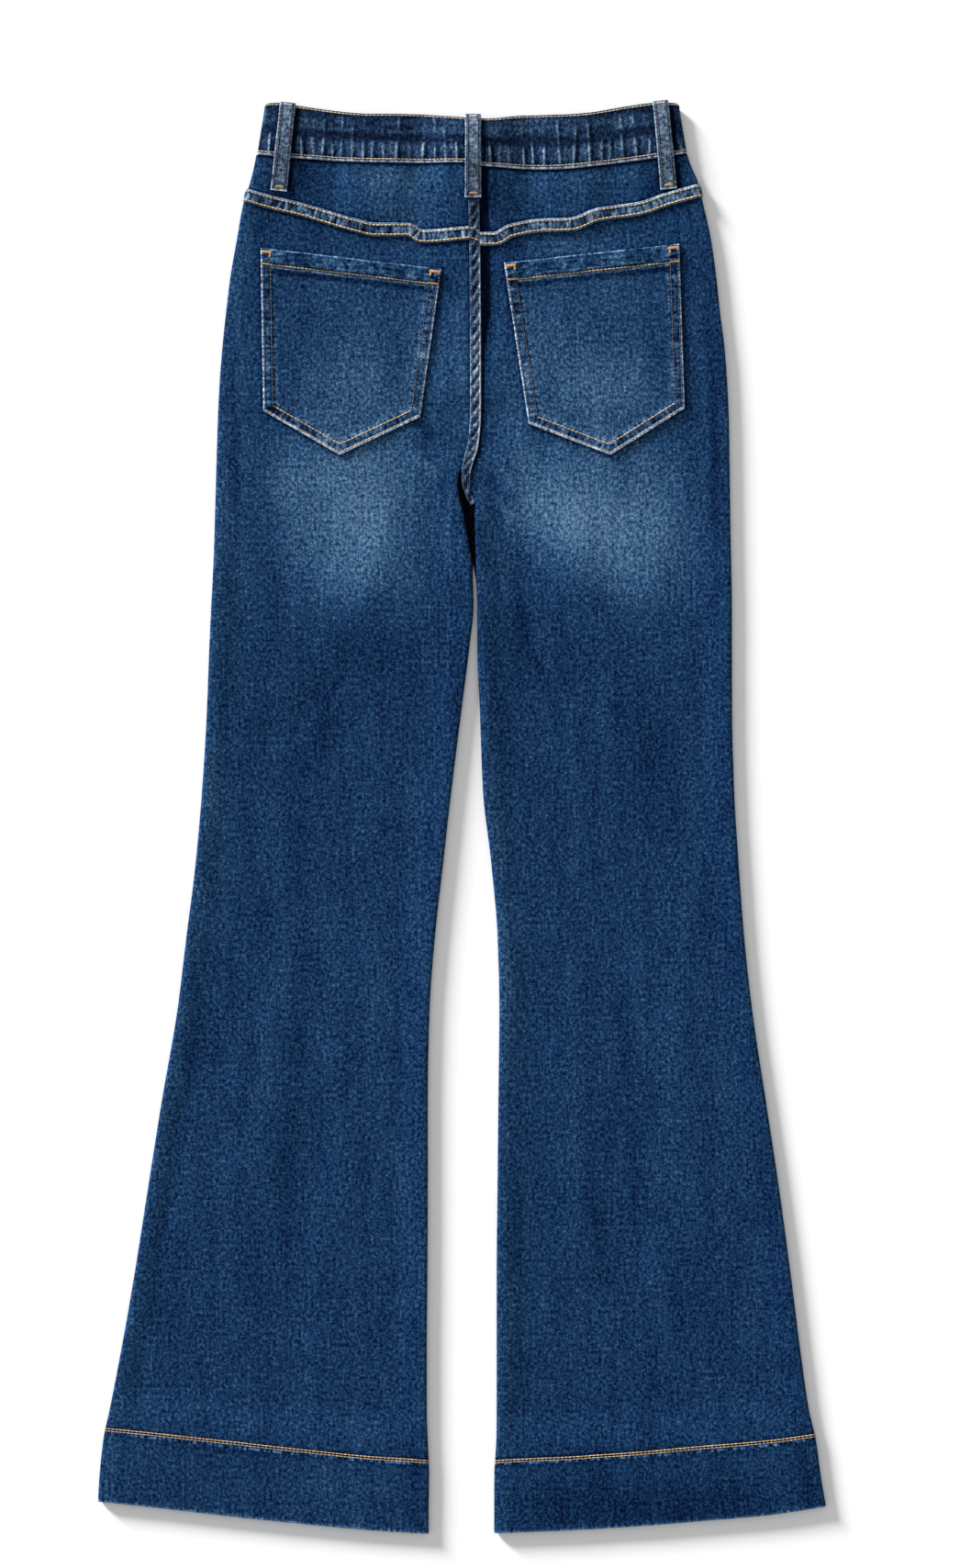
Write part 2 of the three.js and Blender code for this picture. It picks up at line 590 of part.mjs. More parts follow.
// Outer and inner point of the waistband at a station, `up` from its lower edge to its upper one.
function bandPoint(station, up) {
  const lowX = mix(BAND_ENDS.lowLeft, BAND_ENDS.lowRight, station.along);
  const narrowing = (BAND_ENDS.highRight - BAND_ENDS.highLeft) / (BAND_ENDS.lowRight - BAND_ENDS.lowLeft);
  const highX = mix(BAND_ENDS.middle, lowX, narrowing);
  const x = mix(lowX, highX, up);
  const backY = mix(bandLower(lowX), bandUpper(highX), up);
  const frontY = frontBandLower(lowX) + FRONT_BAND_HEIGHT * up;
  if (station.turn !== undefined) {
    const angle = THREE.MathUtils.degToRad(station.turn);
    const y = mix(frontY, backY, (Math.sin(angle) + 1) / 2);
    const centre = x - station.side * BAND_RADIUS;
    const point = (radius) => [centre + station.side * radius * Math.cos(angle), y,
      BAND_RADIUS + radius * Math.sin(angle)];
    return { outer: point(BAND_RADIUS), inner: point(BAND_RADIUS - BAND_CLOTH) };
  }
  if (station.front) {
    const tucked = BAND_LAYER * station.rise * (1 - ease((x - BAND_TUCK_RISE.toX) / BAND_TUCK_RISE.fall));
    const z = lift(x, frontY) + tucked;
    return { outer: [x, frontY, z], inner: [x, frontY, z + BAND_CLOTH] };
  }
  const z = 2 * BAND_RADIUS + lift(x, backY - FRONT_DROP / 2) + lapRoom(x, backY);
  return { outer: [x, backY, z], inner: [x, backY, z - BAND_CLOTH] };
}

function waistband() {
  const stations = bandStations();
  const rows = stations.map((station) => [0, 0.5, 1].map((up) => bandPoint(station, up)));
  const outer = rows.map((row) => row.map((point) => point.outer));
  const inner = rows.map((row) => row.map((point) => point.inner));
  upperFaces.push(outer.filter((_, i) => stations[i].back));
  addPiece('waistband', wall(outer, inner, true), DARK_DENIM);
}

// Strips and patches

// Places across a strip, from one edge at -1 to the other at 1, and its thickness there.
const STRIP_PLACES = [[-1, 0.72], [-0.72, 1], [0.72, 1], [1, 0.72]];

// A strip of cloth along a path. `pointAt(x, y, along, above)` gives a point that lies a distance
// above the strip's under face.
function strip({ name, path, width, pointAt, thickness, finish }) {
  const outer = [];
  const inner = [];
  path.forEach(([x, y], i) => {
    const before = path[Math.max(0, i - 1)];
    const after = path[Math.min(path.length - 1, i + 1)];
    const length = Math.hypot(after[0] - before[0], after[1] - before[1]);
    const across = [-(after[1] - before[1]) / length, (after[0] - before[0]) / length];
    const along = i / (path.length - 1);
    const half = width(along) / 2;
    const row = (amount) => STRIP_PLACES.map(([side, thick]) => pointAt(
      x + across[0] * half * side, y + across[1] * half * side, along, amount * thickness * thick));
    inner.push(row(0));
    outer.push(row(1));
  });
  addPiece(name, wall(outer, inner, true), finish);
}

function resample(points, step) {
  const through = points.map(([x, y]) => new THREE.Vector3(x, y, 0));
  const curve = new THREE.CatmullRomCurve3(through, false, 'centripetal');
  const count = Math.max(4, Math.round(curve.getLength() / step));
  return curve.getSpacedPoints(count).map(({ x, y }) => [x, y]);
}

// A point above the cloth at x, which past the start of the side fold goes round it.
function overSideFold(half, x, y, flat, above) {
  const past = FOLD_RADIUS - half.inward * (x - half.side(y));
  if (past <= 0) return [x, y, flat + above];
  const arc = Math.PI / 2 - past / FOLD_RADIUS;
  const edge = FOLD_HEIGHT + (RIM.back - FOLD_HEIGHT) * (1 - Math.sin(arc));
  const out = SEAM_GAP + above;
  return [
    half.side(y) + half.inward * (FOLD_RADIUS * (1 - Math.cos(arc)) - out * Math.cos(arc)),
    y,
    edge + out * Math.sin(arc),
  ];
}

// The felled ridge of a yoke seam, from the seat seam to the side, where it goes round the fold.
function yokeSeamRidge(half) {
  const middleX = SEAT_RIDGE_PATH[1][0] - half.inward * (SEAT_RIDGE_WIDTH / 2 + 0.7);
  const sideX = half.side(half.yokeSeam(half.side(505))) + half.inward * FOLD_RADIUS;
  const steps = 22;
  const turns = [1, 0.66, 0.33].map((turn) => sideX - half.inward * turn * YOKE_RIDGE_TURN * FOLD_RADIUS);
  const flat = Array.from({ length: steps + 1 }, (_, k) => mix(sideX, middleX, k / steps));
  const xs = half.inward > 0 ? [...turns, ...flat] : [...turns, ...flat].reverse();
  strip({
    name: `yoke_seam_${half.name}`,
    path: xs.map((x) => [x, half.yokeSeam(x)]),
    width: () => YOKE_RIDGE_WIDTH,
    pointAt: (x, y, along, above) => overSideFold(half, x, y, clearHeight(x, y, 2.4), above),
    thickness: SEAM_RIDGE,
    finish: DENIM,
  });
}

// The seat seam's felled ridge: its foot curves aside into the gap between the legs.
function seatSeamRidge() {
  const underAt = (along) => mix(SEAT_RIDGE_FOOT + 1.6, SEAT_RIDGE_FOOT, ease((along - 0.85) / 0.15));
  strip({
    name: 'seat_seam',
    path: resample(SEAT_RIDGE_PATH, 9),
    width: (along) => mix(SEAT_RIDGE_WIDTH, SEAT_RIDGE_TAIL_WIDTH, ease((along - 0.8) / 0.2)),
    pointAt: (x, y, along, above) => [x, y, clearHeight(x, y, 2, underAt(along)) + above],
    thickness: SEAM_RIDGE,
    finish: WORN_DENIM,
  });
}

function beltLoop(place, { top, foot }) {
  const steps = 10;
  const path = Array.from({ length: steps + 1 }, (_, k) => [
    mix(foot[0], top[0], k / steps), mix(foot[1], top[1], k / steps)]);
  const arch = (along) => LOOP_ARCH * Math.sin(Math.PI * along) ** 0.8;
  strip({
    name: `belt_loop_back_${place}`,
    path,
    width: (along) => LOOP_WIDTH * (1 - LOOP_NARROWING * ease(along)),
    pointAt: (x, y, along, above) => [x, y,
      clearHeight(x, Math.min(y, bandUpper(x) - 4), 3.4) + arch(along) + above],
    thickness: LOOP_CLOTH,
    finish: WORN_DENIM,
  });
}

function frontBeltLoop(place, { x, top, foot }) {
  const shape = new THREE.Shape();
  shape.moveTo(x - LOOP_WIDTH / 2, foot);
  shape.lineTo(x + LOOP_WIDTH / 2, foot);
  shape.lineTo(x + LOOP_WIDTH / 2, top);
  shape.lineTo(x - LOOP_WIDTH / 2, top);
  shape.closePath();
  const geometry = new THREE.ExtrudeGeometry(shape, { depth: LOOP_CLOTH, bevelEnabled: false });
  addPiece(`belt_loop_front_${place}`, geometry, WORN_DENIM);
}

// A patch pocket with a pointed foot and a thicker turned mouth.
const POCKET_ROWS = { shares: [0, 0.02, 0.085, 0.11, 0.3, 0.5, 0.7, 0.88, 0.97, 1], hem: 0.1, gape: 0.28 };
const POCKET_EDGE = 0.75;       // thickness at the pocket's very edge, as a share of its cloth
const POCKET_CLEAR = 5;

function backPocket(name, { topLeft, topRight, lowerRight, tip, lowerLeft, tipShare }) {
  const columnShares = [0, 0.03, 0.1, 0.22, 0.34, tipShare, 0.62, 0.74, 0.87, 0.97, 1];
  const between = (a, b, t) => [mix(a[0], b[0], t), mix(a[1], b[1], t)];
  const outer = [];
  const inner = [];
  for (const down of POCKET_ROWS.shares) {
    const lower = [];
    const upper = [];
    for (const across of columnShares) {
      const mouth = between(topLeft, topRight, across);
      const foot = across <= tipShare ? between(lowerLeft, tip, across / tipShare)
        : between(tip, lowerRight, (across - tipShare) / (1 - tipShare));
      const [x, y] = between(mouth, foot, down);
      const atEdge = Math.min(across, 1 - across, 1 - down, down) < 0.001;
      const cloth = (down < POCKET_ROWS.hem ? POCKET_HEM_CLOTH : POCKET_CLOTH) * (atEdge ? POCKET_EDGE : 1);
      const gape = POCKET_GAPE * Math.sin(Math.PI * across) * (1 - ease(down / POCKET_ROWS.gape));
      const z = clearHeight(x, y, POCKET_CLEAR) + gape;
      lower.push([x, y, z]);
      upper.push([x, y, z + cloth]);
    }
    outer.push(upper);
    inner.push(lower);
  }
  addPiece(name, wall(outer, inner, true), POCKET_DENIM);
}

function button() {
  const rim = 0.5;
  const profile = [
    [0, 0], [BUTTON_RADIUS - rim, 0], [BUTTON_RADIUS, rim], [BUTTON_RADIUS, BUTTON_HEIGHT - rim],
    [BUTTON_RADIUS - rim, BUTTON_HEIGHT], [0, BUTTON_HEIGHT],
  ].map(([radius, height]) => new THREE.Vector2(radius, height));
  const geometry = new THREE.LatheGeometry(profile, 28);
  geometry.rotateX(Math.PI / 2);
  geometry.translate(CENTRE_FRONT_X, BUTTON_Y, 0);
  addPiece('button', geometry, BUTTON_METAL);
}

for (const half of [HALVES.left, HALVES.right]) {
  frontPanel(half);
  backPanel(half);
  yoke(half);
}
waistband();
for (const half of [HALVES.left, HALVES.right]) yokeSeamRidge(half);
seatSeamRidge();
for (const [place, loop] of Object.entries(BACK_LOOPS)) beltLoop(place, loop);
FRONT_LOOPS.forEach((loop, i) => frontBeltLoop(['left', 'right'][i], loop));
for (const [side, pocket] of Object.entries(BACK_POCKETS)) backPocket(`back_pocket_${side}`, pocket);
button();

export default garment;
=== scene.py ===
# Flared denim jeans laid flat with the back side up: cloth shells, seams, stitches and finish.
# Shapes are worked out in millimetres, +Y to the waist and +Z up, and turned to metres in the meshes.
import math

import bpy
import numpy as np
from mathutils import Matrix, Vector
from mathutils.bvhtree import BVHTree


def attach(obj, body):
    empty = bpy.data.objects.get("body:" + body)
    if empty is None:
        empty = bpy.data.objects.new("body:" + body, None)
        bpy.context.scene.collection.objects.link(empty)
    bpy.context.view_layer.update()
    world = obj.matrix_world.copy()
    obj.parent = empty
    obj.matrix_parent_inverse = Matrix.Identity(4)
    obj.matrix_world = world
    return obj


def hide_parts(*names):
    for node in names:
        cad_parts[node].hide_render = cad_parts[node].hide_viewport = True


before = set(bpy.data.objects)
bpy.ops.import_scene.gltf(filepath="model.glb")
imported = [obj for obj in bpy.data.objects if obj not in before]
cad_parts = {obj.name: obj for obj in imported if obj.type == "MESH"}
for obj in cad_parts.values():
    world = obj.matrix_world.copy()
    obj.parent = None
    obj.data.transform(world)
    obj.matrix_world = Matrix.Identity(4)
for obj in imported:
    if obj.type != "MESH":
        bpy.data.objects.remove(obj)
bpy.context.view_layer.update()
MM = 0.001

# Cloth and layers
CLOTH = 1.3
DOUBLE_CLOTH = 2.6
BAND_CLOTH = 2.4
SEAM_GAP = 0.3
FRONT_SEAM_GAP = 0.04
FOLD_HEIGHT = 5.5
FOLD_RADIUS = 2.9
FOLD_REACH = 13
AIR = 0.6
SEAT_FULLNESS = 1.5
CENTRE_FRONT_X = 9
HEM_DEPTH = 60
HEM_ROW_GAP = 1.9       # between the hem's two sewn rows
RIM = {"back": (FOLD_HEIGHT + SEAM_GAP) / 2, "front": (FOLD_HEIGHT - SEAM_GAP) / 2}

# Small parts
LOOP_WIDTH = 13.2
LOOP_CLOTH = 1.6
LOOP_ARCH = 1.4
FRONT_LOOP_OFFSET = 80
FRONT_LOOP_ABOVE = 41.5     # its two ends, from the lower edge of the band's front
FRONT_LOOP_BELOW = 22
POCKET_CLOTH = 1.4
POCKET_HEM_CLOTH = 2.6
POCKET_GAPE = 1.1
SEAM_RIDGE = 1.2
BUTTON_RADIUS = 8.5
BUTTON_HEIGHT = 1.9
BUTTON_ABOVE = 19           # its middle, from the same edge
FLY_LENGTH = 160
FLY_LAP = 5
FLY_TUCK = 8
BAND_LAP = 16
BAND_TUCK = 12
LAID_ON = 0.08          # a piece sewn on lies this far off the cloth below it
UNDER_BAND = 0.4        # the panels end this far below the band

# Grid steps of the shells
LEG_STEP = 5.5
SEAT_STEP = 1.8
SEAT_FROM_Y = 186
FRONT_STEP = 6.5
STRIP_STEP = 1.1
BACK_COLUMNS = 108
FRONT_COLUMNS = 46
YOKE_COLUMNS = 116
YOKE_ROWS = 38
HEM_ROUND = 1.1


def table(columns, rows):
    return [dict(zip(columns, row)) for row in rows]


OUTLINE = table(["y", "left_side", "left_inner", "right_inner", "right_side"], [
    [-560, -296, -27.2, 26, 295.7],
    [-535, -294.6, -26.8, 26, 291.5],
    [-503, -291.2, -28, 27.8, 287],
    [-480, -286.3, -28.7, 28, 281.6],
    [-430, -276.6, -28.7, 28, 274.4],
    [-370, -266.1, -28.2, 28, 266.8],
    [-300, -255.1, -27.9, 28.7, 257.3],
    [-230, -244, -27.9, 29.4, 246.7],
    [-156, -231.3, -26.4, 30.2, 235.6],
    [-96, -223.9, -22, 28.7, 229],
    [-36, -216.4, -15.3, 23.5, 224.5],
    [23, -211.2, -8.6, 16.8, 220.9],
    [83, -207.5, -1.1, 14.5, 219.3],
    [142, -205.2, 6.3, 12.3, 219.1],
    [172, -203.8, 9.3, 12.3, 219.1],
    [202, -202.2, 8.3, 11.2, 218.6],
    [230, -201.2, 4.2, 10.6, 218],
    [250, -200.6, 0.4, 10.3, 217.7],
    [321, -198.5, None, None, 216.7],
    [351, -197.1, None, None, 215.4],
    [381, -194.8, None, None, 213.2],
    [410, -191.8, None, None, 209.5],
    [440, -188.1, None, None, 206.3],
    [470, -182.9, None, None, 202],
    [498, -177.9, None, None, 195.9],
    [515, -172.5, None, None, 191.9],
    [530, -168.7, None, None, 185.7],
    [538, -167.2, None, None, 183],
    [560, -161.7, None, None, 177.5],
    [578, -159.3, None, None, 175.6],
])
SEAT_SEAM = [[274.9, 3.25], [282.4, 3.25], [291.3, 6.15], [300, 9.25], [330, 10.35], [490, 10.35],
             [540, 8.85]]
CROTCH_EDGE = {
    "left": [[250, 0.4], [262, -2.4], [275, -3.4], [280, -2.4], [284, 2], [288, 4.6]],
    "right": [[250, 10.3], [255.5, 10.1], [266, 7.8], [274.9, 3.4]],
}
SEAM_FROM_Y = {"left": 288, "right": 274.9}
BACK_FOLD_ENDS = {"left": (274, 290), "right": (256, 274)}
FRONT_CROTCH_Y = 208
BAND_LOWER = [[-170, 538.7], [-120, 534.4], [-77, 531.9], [-2, 531.2], [20, 528.2], [71, 526],
              [130, 531.9], [184, 539.6]]
BAND_UPPER = [[-160, 579.8], [-151, 580.3], [-137, 578.5], [-107, 574.2], [-77, 571.2], [-40, 571.1],
              [-12, 569], [20, 566.9], [50, 569.9], [80, 570.5], [102, 572], [120, 575.1], [131, 577.1],
              [161, 580.6], [178, 579.9]]
BAND_LEFT_X = -166.5
BAND_RIGHT_X = 182.5
BAND_TOP_LEFT_X = -160
BAND_TOP_RIGHT_X = 176
BAND_MIDDLE_X = 8
FRONT_BAND_HEIGHT = 38.5
FRONT_DROP = 21
YOKE_SEAM = {
    "left": [[-180, 506.6], [-160, 500.7], [-128, 492.8], [-86, 480.5], [-70, 477.3], [-44, 477.3],
             [-32, 471.8], [10, 475]],
    "right": [[10, 469.6], [27, 469.8], [40, 476.4], [64, 480.6], [88, 481.4], [111, 489.5], [145, 494.7],
              [167, 502.1], [196, 510]],
}
HEM_EDGE = {
    "left": [[-297, -554.7], [-256, -558.9], [-196, -565.9], [-137, -572.2], [-77, -577.8], [-27, -581.1]],
    "right": [[25, -580.6], [72, -578.8], [131, -575.6], [191, -570.9], [251, -565.5], [297, -558.5]],
}

# Ridges, and troughs where the height is below 0. The first rows are the largest folds.
BACK_FOLDS = table(["from_x", "from_y", "to_x", "to_y", "half_width", "height"], [
    [-85, 145, -200, -40, 20, -0.5],
    [-110, 160, -205, 40, 24, 0.6],
    [40, 150, 110, -10, 22, -0.45],
    [75, 190, 150, 20, 24, 0.6],
    [-60, 240, -90, 120, 26, 0.7],
    [105, 260, 70, 90, 26, 0.6],
    [-150, -80, -185, -460, 24, 0.7],
    [-75, 0, -95, -420, 20, 0.5],
    [-120, -120, -140, -500, 18, -0.45],
    [75, -60, 90, -480, 22, 0.7],
    [165, 20, 190, -430, 24, 0.6],
    [130, -150, 140, -500, 18, -0.45],
    [-55, 300, -15, 325, 14, 0.5],
    [24, 490, 21, 350, 8, -1.1],
    [19, 520, 24, 480, 9, -0.8],
    [-68, 170, -150, 40, 7, -0.5],
    [-100, 118, -178, 10, 6, 0.35],
    [30, 176, 74, 40, 7, -0.45],
    [52, 168, 96, 60, 6, 0.35],
    [-28, 318, -10, 292, 6, -0.7],
    [-40, 300, -6, 268, 7, 0.5],
    [16, 300, 44, 250, 8, 0.6],
    [18, 276, 36, 262, 7, -0.7],
    [34, 330, 24, 296, 7, -0.4],
    [-8, 250, -16, 150, 7, 0.5],
    [26, 250, 24, 140, 6, 0.35],
    [-172, 300, -182, 120, 8, 0.35],
    [196, 330, 200, 150, 8, 0.35],
    [-60, -90, -52, -330, 7, 0.3],
    [-200, -140, -236, -400, 8, 0.35],
    [60, -130, 52, -380, 7, 0.3],
    [205, -120, 236, -380, 8, 0.35],
    [110, 60, 118, -120, 8, -0.3],
    [-110, -40, -112, -220, 8, -0.25],
])

# Where the wash left the cloth lighter (above 0) or darker, as soft ovals, with painted shade in the dark
# ovals over the right leg's lower part and beside the centre loop. 1 is from near black to white.
FADES_AND_SHADE = table(["x", "y", "radius_x", "radius_y", "amount"], [
    [-76, 246, 46, 46, 0.15],
    [-108, 240, 42, 54, 0.1],
    [-96, 290, 66, 28, 0.09],
    [-138, 268, 26, 42, 0.05],
    [72, 254, 34, 36, 0.13],
    [108, 238, 50, 42, 0.14],
    [150, 250, 28, 44, 0.07],
    [110, 292, 64, 24, 0.08],
    [134, 196, 24, 24, 0.05],
    [-92, 350, 44, 34, 0.11],
    [112, 345, 46, 34, 0.13],
    [-95, 402, 50, 46, 0.045],
    [110, 402, 50, 46, 0.055],
    [-50, 520, 64, 18, 0.1],
    [96, 520, 60, 16, 0.06],
    [-2, 372, 10, 62, 0.09],
    [12, 236, 10, 26, -0.05],
    [-28, 316, 14, 14, -0.09],
    [44, 166, 16, 50, -0.045],
    [-72, 130, 34, 24, -0.045],
    [-113, 84, 15, 34, -0.055],
    [-134, 38, 16, 36, -0.045],
    [146, 36, 26, 62, -0.045],
    [-30, -118, 12, 60, 0.045],
    [32, -118, 12, 60, 0.045],
    # Painted shade: darker over the right leg's lower part.
    [180, -440, 110, 110, -0.02],
    [150, -560, 130, 26, -0.08],
    [-189, 247, 26, 40, 0.055],
    [-92, 193, 36, 22, 0.085],
    [-47, 312, 26, 28, 0.08],
    [-71, 228, 16, 28, 0.045],
    [-50, 496, 34, 32, 0.06],
    [-25, 360, 17, 50, 0.06],
    [54, 387, 14, 44, 0.05],
    [90, 459, 46, 26, 0.08],
    [-71, 442, 18, 14, 0.05],
    [46, 314, 15, 42, 0.055],
    [124, 224, 62, 42, 0.075],
    [54, 258, 16, 24, 0.06],
    # Painted shade beside the centre loop, below the band.
    [-8, 522, 6, 12, -0.1],
    [-9, 433, 8, 16, -0.05],
    [14, 158, 8, 40, -0.045],
    [-6, 110, 10, 50, -0.04],
    [-114, 388, 34, 44, -0.035],
    [131, 403, 36, 24, -0.035],
    [-196, 8, 22, 60, 0.05],
    [172, 247, 24, 56, 0.045],
    [38, 350, 10, 40, 0.05],
    [75, 400, 14, 60, 0.035],
    [-50, 478, 22, 16, 0.05],
    [-115, 515, 34, 22, -0.045],
    [158, 515, 10, 22, -0.09],
    [-29, 469, 10, 10, -0.045],
    [20, 469, 16, 12, -0.05],
    [33, 433, 10, 14, -0.05],
])

# Light and dark lines where the cloth was creased when it was washed.
MARKS = table(["from_x", "from_y", "to_x", "to_y", "half_width", "amount"], [
    [-11, 296, -10, 184, 2.6, 0.09],
    [-40, 328, -24, 300, 3.2, -0.07],
    [-30, 332, -16, 312, 2.2, 0.08],
    [-44, 306, -18, 290, 3, -0.06],
    [-46, 318, -30, 312, 2, 0.07],
    [-36, 290, -12, 272, 3.4, 0.08],
    [-24, 284, -8, 262, 2.6, -0.05],
    [15, 292, 34, 252, 4.2, -0.06],
    [20, 300, 46, 262, 2.6, 0.09],
    [16, 272, 26, 240, 4, -0.06],
    [24, 268, 44, 232, 3.4, 0.09],
    [15, 248, 19, 196, 4, -0.05],
    [30, 232, 34, 160, 3.4, 0.05],
    [-62, 160, -120, 78, 4, -0.05],
    [-54, 166, -112, 84, 3.4, 0.05],
    [-96, 112, -170, 18, 4, 0.04],
    [40, 190, 80, 70, 4, -0.045],
    [52, 186, 92, 72, 4, 0.04],
    [-190, 420, -182, 200, 3, -0.05],
    [-182, 420, -174, 230, 3, 0.045],
    [204, 420, 206, 180, 3, -0.045],
    [196, 410, 199, 200, 3, 0.035],
    [-70, -60, -84, -380, 5, 0.025],
    [-150, -60, -182, -420, 6, 0.03],
    [-128, -80, -150, -430, 5, -0.025],
    [84, -40, 96, -420, 5, 0.025],
    [150, -20, 178, -420, 6, 0.025],
    [128, -60, 146, -430, 5, -0.025],
])

POCKET_CORNERS = ("top_left", "lower_left", "tip", "lower_right", "top_right")
BACK_POCKETS = {
    "left": dict(top_left=(-163.5, 462.3), lower_left=(-161.3, 330), tip=(-99.5, 294.3),
                 lower_right=(-33.9, 325.2), top_right=(-16.8, 445.1), tip_share=0.485, mouth=12.7),
    "right": dict(top_left=(33.9, 450), lower_left=(54, 319.6), tip=(120.3, 294.3),
                  lower_right=(180.7, 332.3), top_right=(176.2, 465.6), tip_share=0.52, mouth=14.2),
}
BACK_LOOPS = {
    "left": dict(top=(-141.2, 580.4), foot=(-148.8, 508.8)),
    "centre": dict(top=(8.9, 570.2), foot=(8.9, 503)),
    "right": dict(top=(160.9, 581.9), foot=(167.6, 510.3)),
}
SEAT_RIDGE_PATH = [(9.4, 501.6), (10.2, 470), (10.5, 440), (10.8, 400), (10.9, 360), (10.8, 327),
                   (8.7, 302.5), (5.2, 290.5), (3.2, 281), (2.9, 273.5), (4, 266.5), (6.4, 260.2),
                   (9.2, 255)]
SEAT_RIDGE_WIDTH = 8.8
SEAT_RIDGE_TAIL_WIDTH = 5.2
YOKE_RIDGE_WIDTH = 11
YOKE_RIDGE_TURN = math.pi * 0.45    # how far its outer end goes round the side fold

# Stitching
STITCH_PITCH = 3.2
STITCH_LENGTH = 3.3
# Half the width of the thread in each row; it lies flatter than that.
THREAD_RADII = dict(fly=0.5, crossing=0.5, band=0.44, yoke_seam=0.6, seat_seam=0.36, hem_gold=0.4,
                    hem_tan=0.32, loop=0.36, pocket=0.42, pocket_mouth=0.54, loop_bar=0.34, pocket_bar=0.36)


# Interpolation

def mix(a, b, t):
    return a + (b - a) * t


def ease(t):
    """A smooth step from 0 to 1."""
    t = np.clip(t, 0, 1)
    return t * t * (3 - 2 * t)


def bell(distance, width):
    return np.exp(-((distance / width) ** 2))


def bells(distance, *terms):
    """The sum of bells, each given by its offset, width and amount."""
    return sum(amount * bell(distance - offset, width) for offset, width, amount in terms)


def plateau(distance, flat, fall):
    """1 up to a distance, then falling to 0."""
    return 1 - ease((np.abs(distance) - flat) / fall)


def vectors(*parts):
    """Arrays or numbers side by side, as the last axis of one array."""
    return np.stack(np.broadcast_arrays(*parts), -1)


def pairs(items):
    """Each item with the next one."""
    return list(zip(items[:-1], items[1:]))


def running_length(points):
    """How far along a line of points each of them lies."""
    return np.concatenate([[0], np.cumsum(np.linalg.norm(np.diff(points, axis=0), axis=1))])


def smooth_line(points):
    """A smooth line through points that keeps between its neighbouring values."""
    t, v = np.array(points, float).T
    slopes = np.diff(v) / np.diff(t)
    before = np.concatenate([slopes[:1], slopes])
    after = np.concatenate([slopes, slopes[-1:]])
    same = before * after > 0
    tangents = np.where(same, 2 * before * after / np.where(same, before + after, 1), 0)

    def line(at):
        at = np.asarray(at, float)
        i = np.clip(np.searchsorted(t, at) - 1, 0, len(t) - 2)
        step = t[i + 1] - t[i]
        s = np.clip((at - t[i]) / step, 0, 1)
        ends = v[i] * (1 + 2 * s) * (1 - s) ** 2 + v[i + 1] * s * s * (3 - 2 * s)
        return ends + step * (tangents[i] * s * (1 - s) ** 2 - tangents[i + 1] * s * s * (1 - s))

    return line


def soft_noise(x, y, cell_x, cell_y, seed):
    """Smooth values from -1 to 1 that change over about one cell."""
    values = np.random.RandomState(seed).uniform(-1, 1, (64, 64))
    gx, gy = np.asarray(x) / cell_x + 32.5, np.asarray(y) / cell_y + 32.5
    ix, iy = np.floor(gx).astype(int), np.floor(gy).astype(int)
    fx, fy = ease(gx - ix), ease(gy - iy)
    low = mix(values[iy % 64, ix % 64], values[iy % 64, (ix + 1) % 64], fx)
    high = mix(values[(iy + 1) % 64, ix % 64], values[(iy + 1) % 64, (ix + 1) % 64], fx)
    return mix(low, high, fy)


def round_drop(distance, radius):
    """How far a face sinks at a rounded edge."""
    inside = np.clip(1 - distance / radius, 0, 1)
    return radius * (1 - np.sqrt(1 - inside ** 2))


# The two halves of the garment

seat_seam = smooth_line(SEAT_SEAM)
band_lower = smooth_line(BAND_LOWER)
band_upper = smooth_line(BAND_UPPER)


class Half:
    """One side of the garment: its edges as lines, x by y or, for hem and yoke seam, y by x."""

    def __init__(self, name, inward):
        self.name = name
        self.inward = inward
        self.side = smooth_line([(row["y"], row[name + "_side"]) for row in OUTLINE])
        leg = [(row["y"], row[name + "_inner"]) for row in OUTLINE if row[name + "_inner"] is not None]
        self.leg_inner = smooth_line(leg)
        self.crotch = smooth_line(CROTCH_EDGE[name])
        self.crotch_from = CROTCH_EDGE[name][0][0]
        self.hem_edge = smooth_line(HEM_EDGE[name])
        self.yoke_seam = smooth_line(YOKE_SEAM[name])

    def back_inner(self, y):
        y = np.asarray(y, float)
        leg = np.where(y > self.crotch_from, self.crotch(y), self.leg_inner(y))
        return np.where(y >= SEAM_FROM_Y[self.name], seat_seam(y) - self.inward * SEAM_GAP / 2, leg)

    def back_fold(self, y):
        end, start = BACK_FOLD_ENDS[self.name]
        return 1 - ease((y - end) / (start - end))

    def front_inner(self, y):
        seam = CENTRE_FRONT_X - self.inward * FRONT_SEAM_GAP / 2
        lapped = CENTRE_FRONT_X + (FLY_LAP if self.name == "left" else -FLY_TUCK)
        joined = mix(seam, lapped, ease((y - FLY_FOOT_Y) / 12))
        return mix(self.leg_inner(y), joined, ease((y - FRONT_CROTCH_Y + 18) / 18))

    def front_fold(self, y):
        return 1 - ease((y - (FRONT_CROTCH_Y - 26)) / 22)


def front_band_lower(x):
    middle, half = (BAND_RIGHT_X + BAND_LEFT_X) / 2, (BAND_RIGHT_X - BAND_LEFT_X) / 2
    drop = FRONT_DROP * (1 - ease(np.abs(x - middle) / half))
    return mix(band_lower(x), band_lower(BAND_LEFT_X), 0.8) - drop


LEFT, RIGHT = Half("left", 1), Half("right", -1)
HALVES = (LEFT, RIGHT)


def front_loop_ends(x):
    lower = float(front_band_lower(x))
    return dict(x=x, top=lower + FRONT_LOOP_ABOVE, foot=lower - FRONT_LOOP_BELOW)


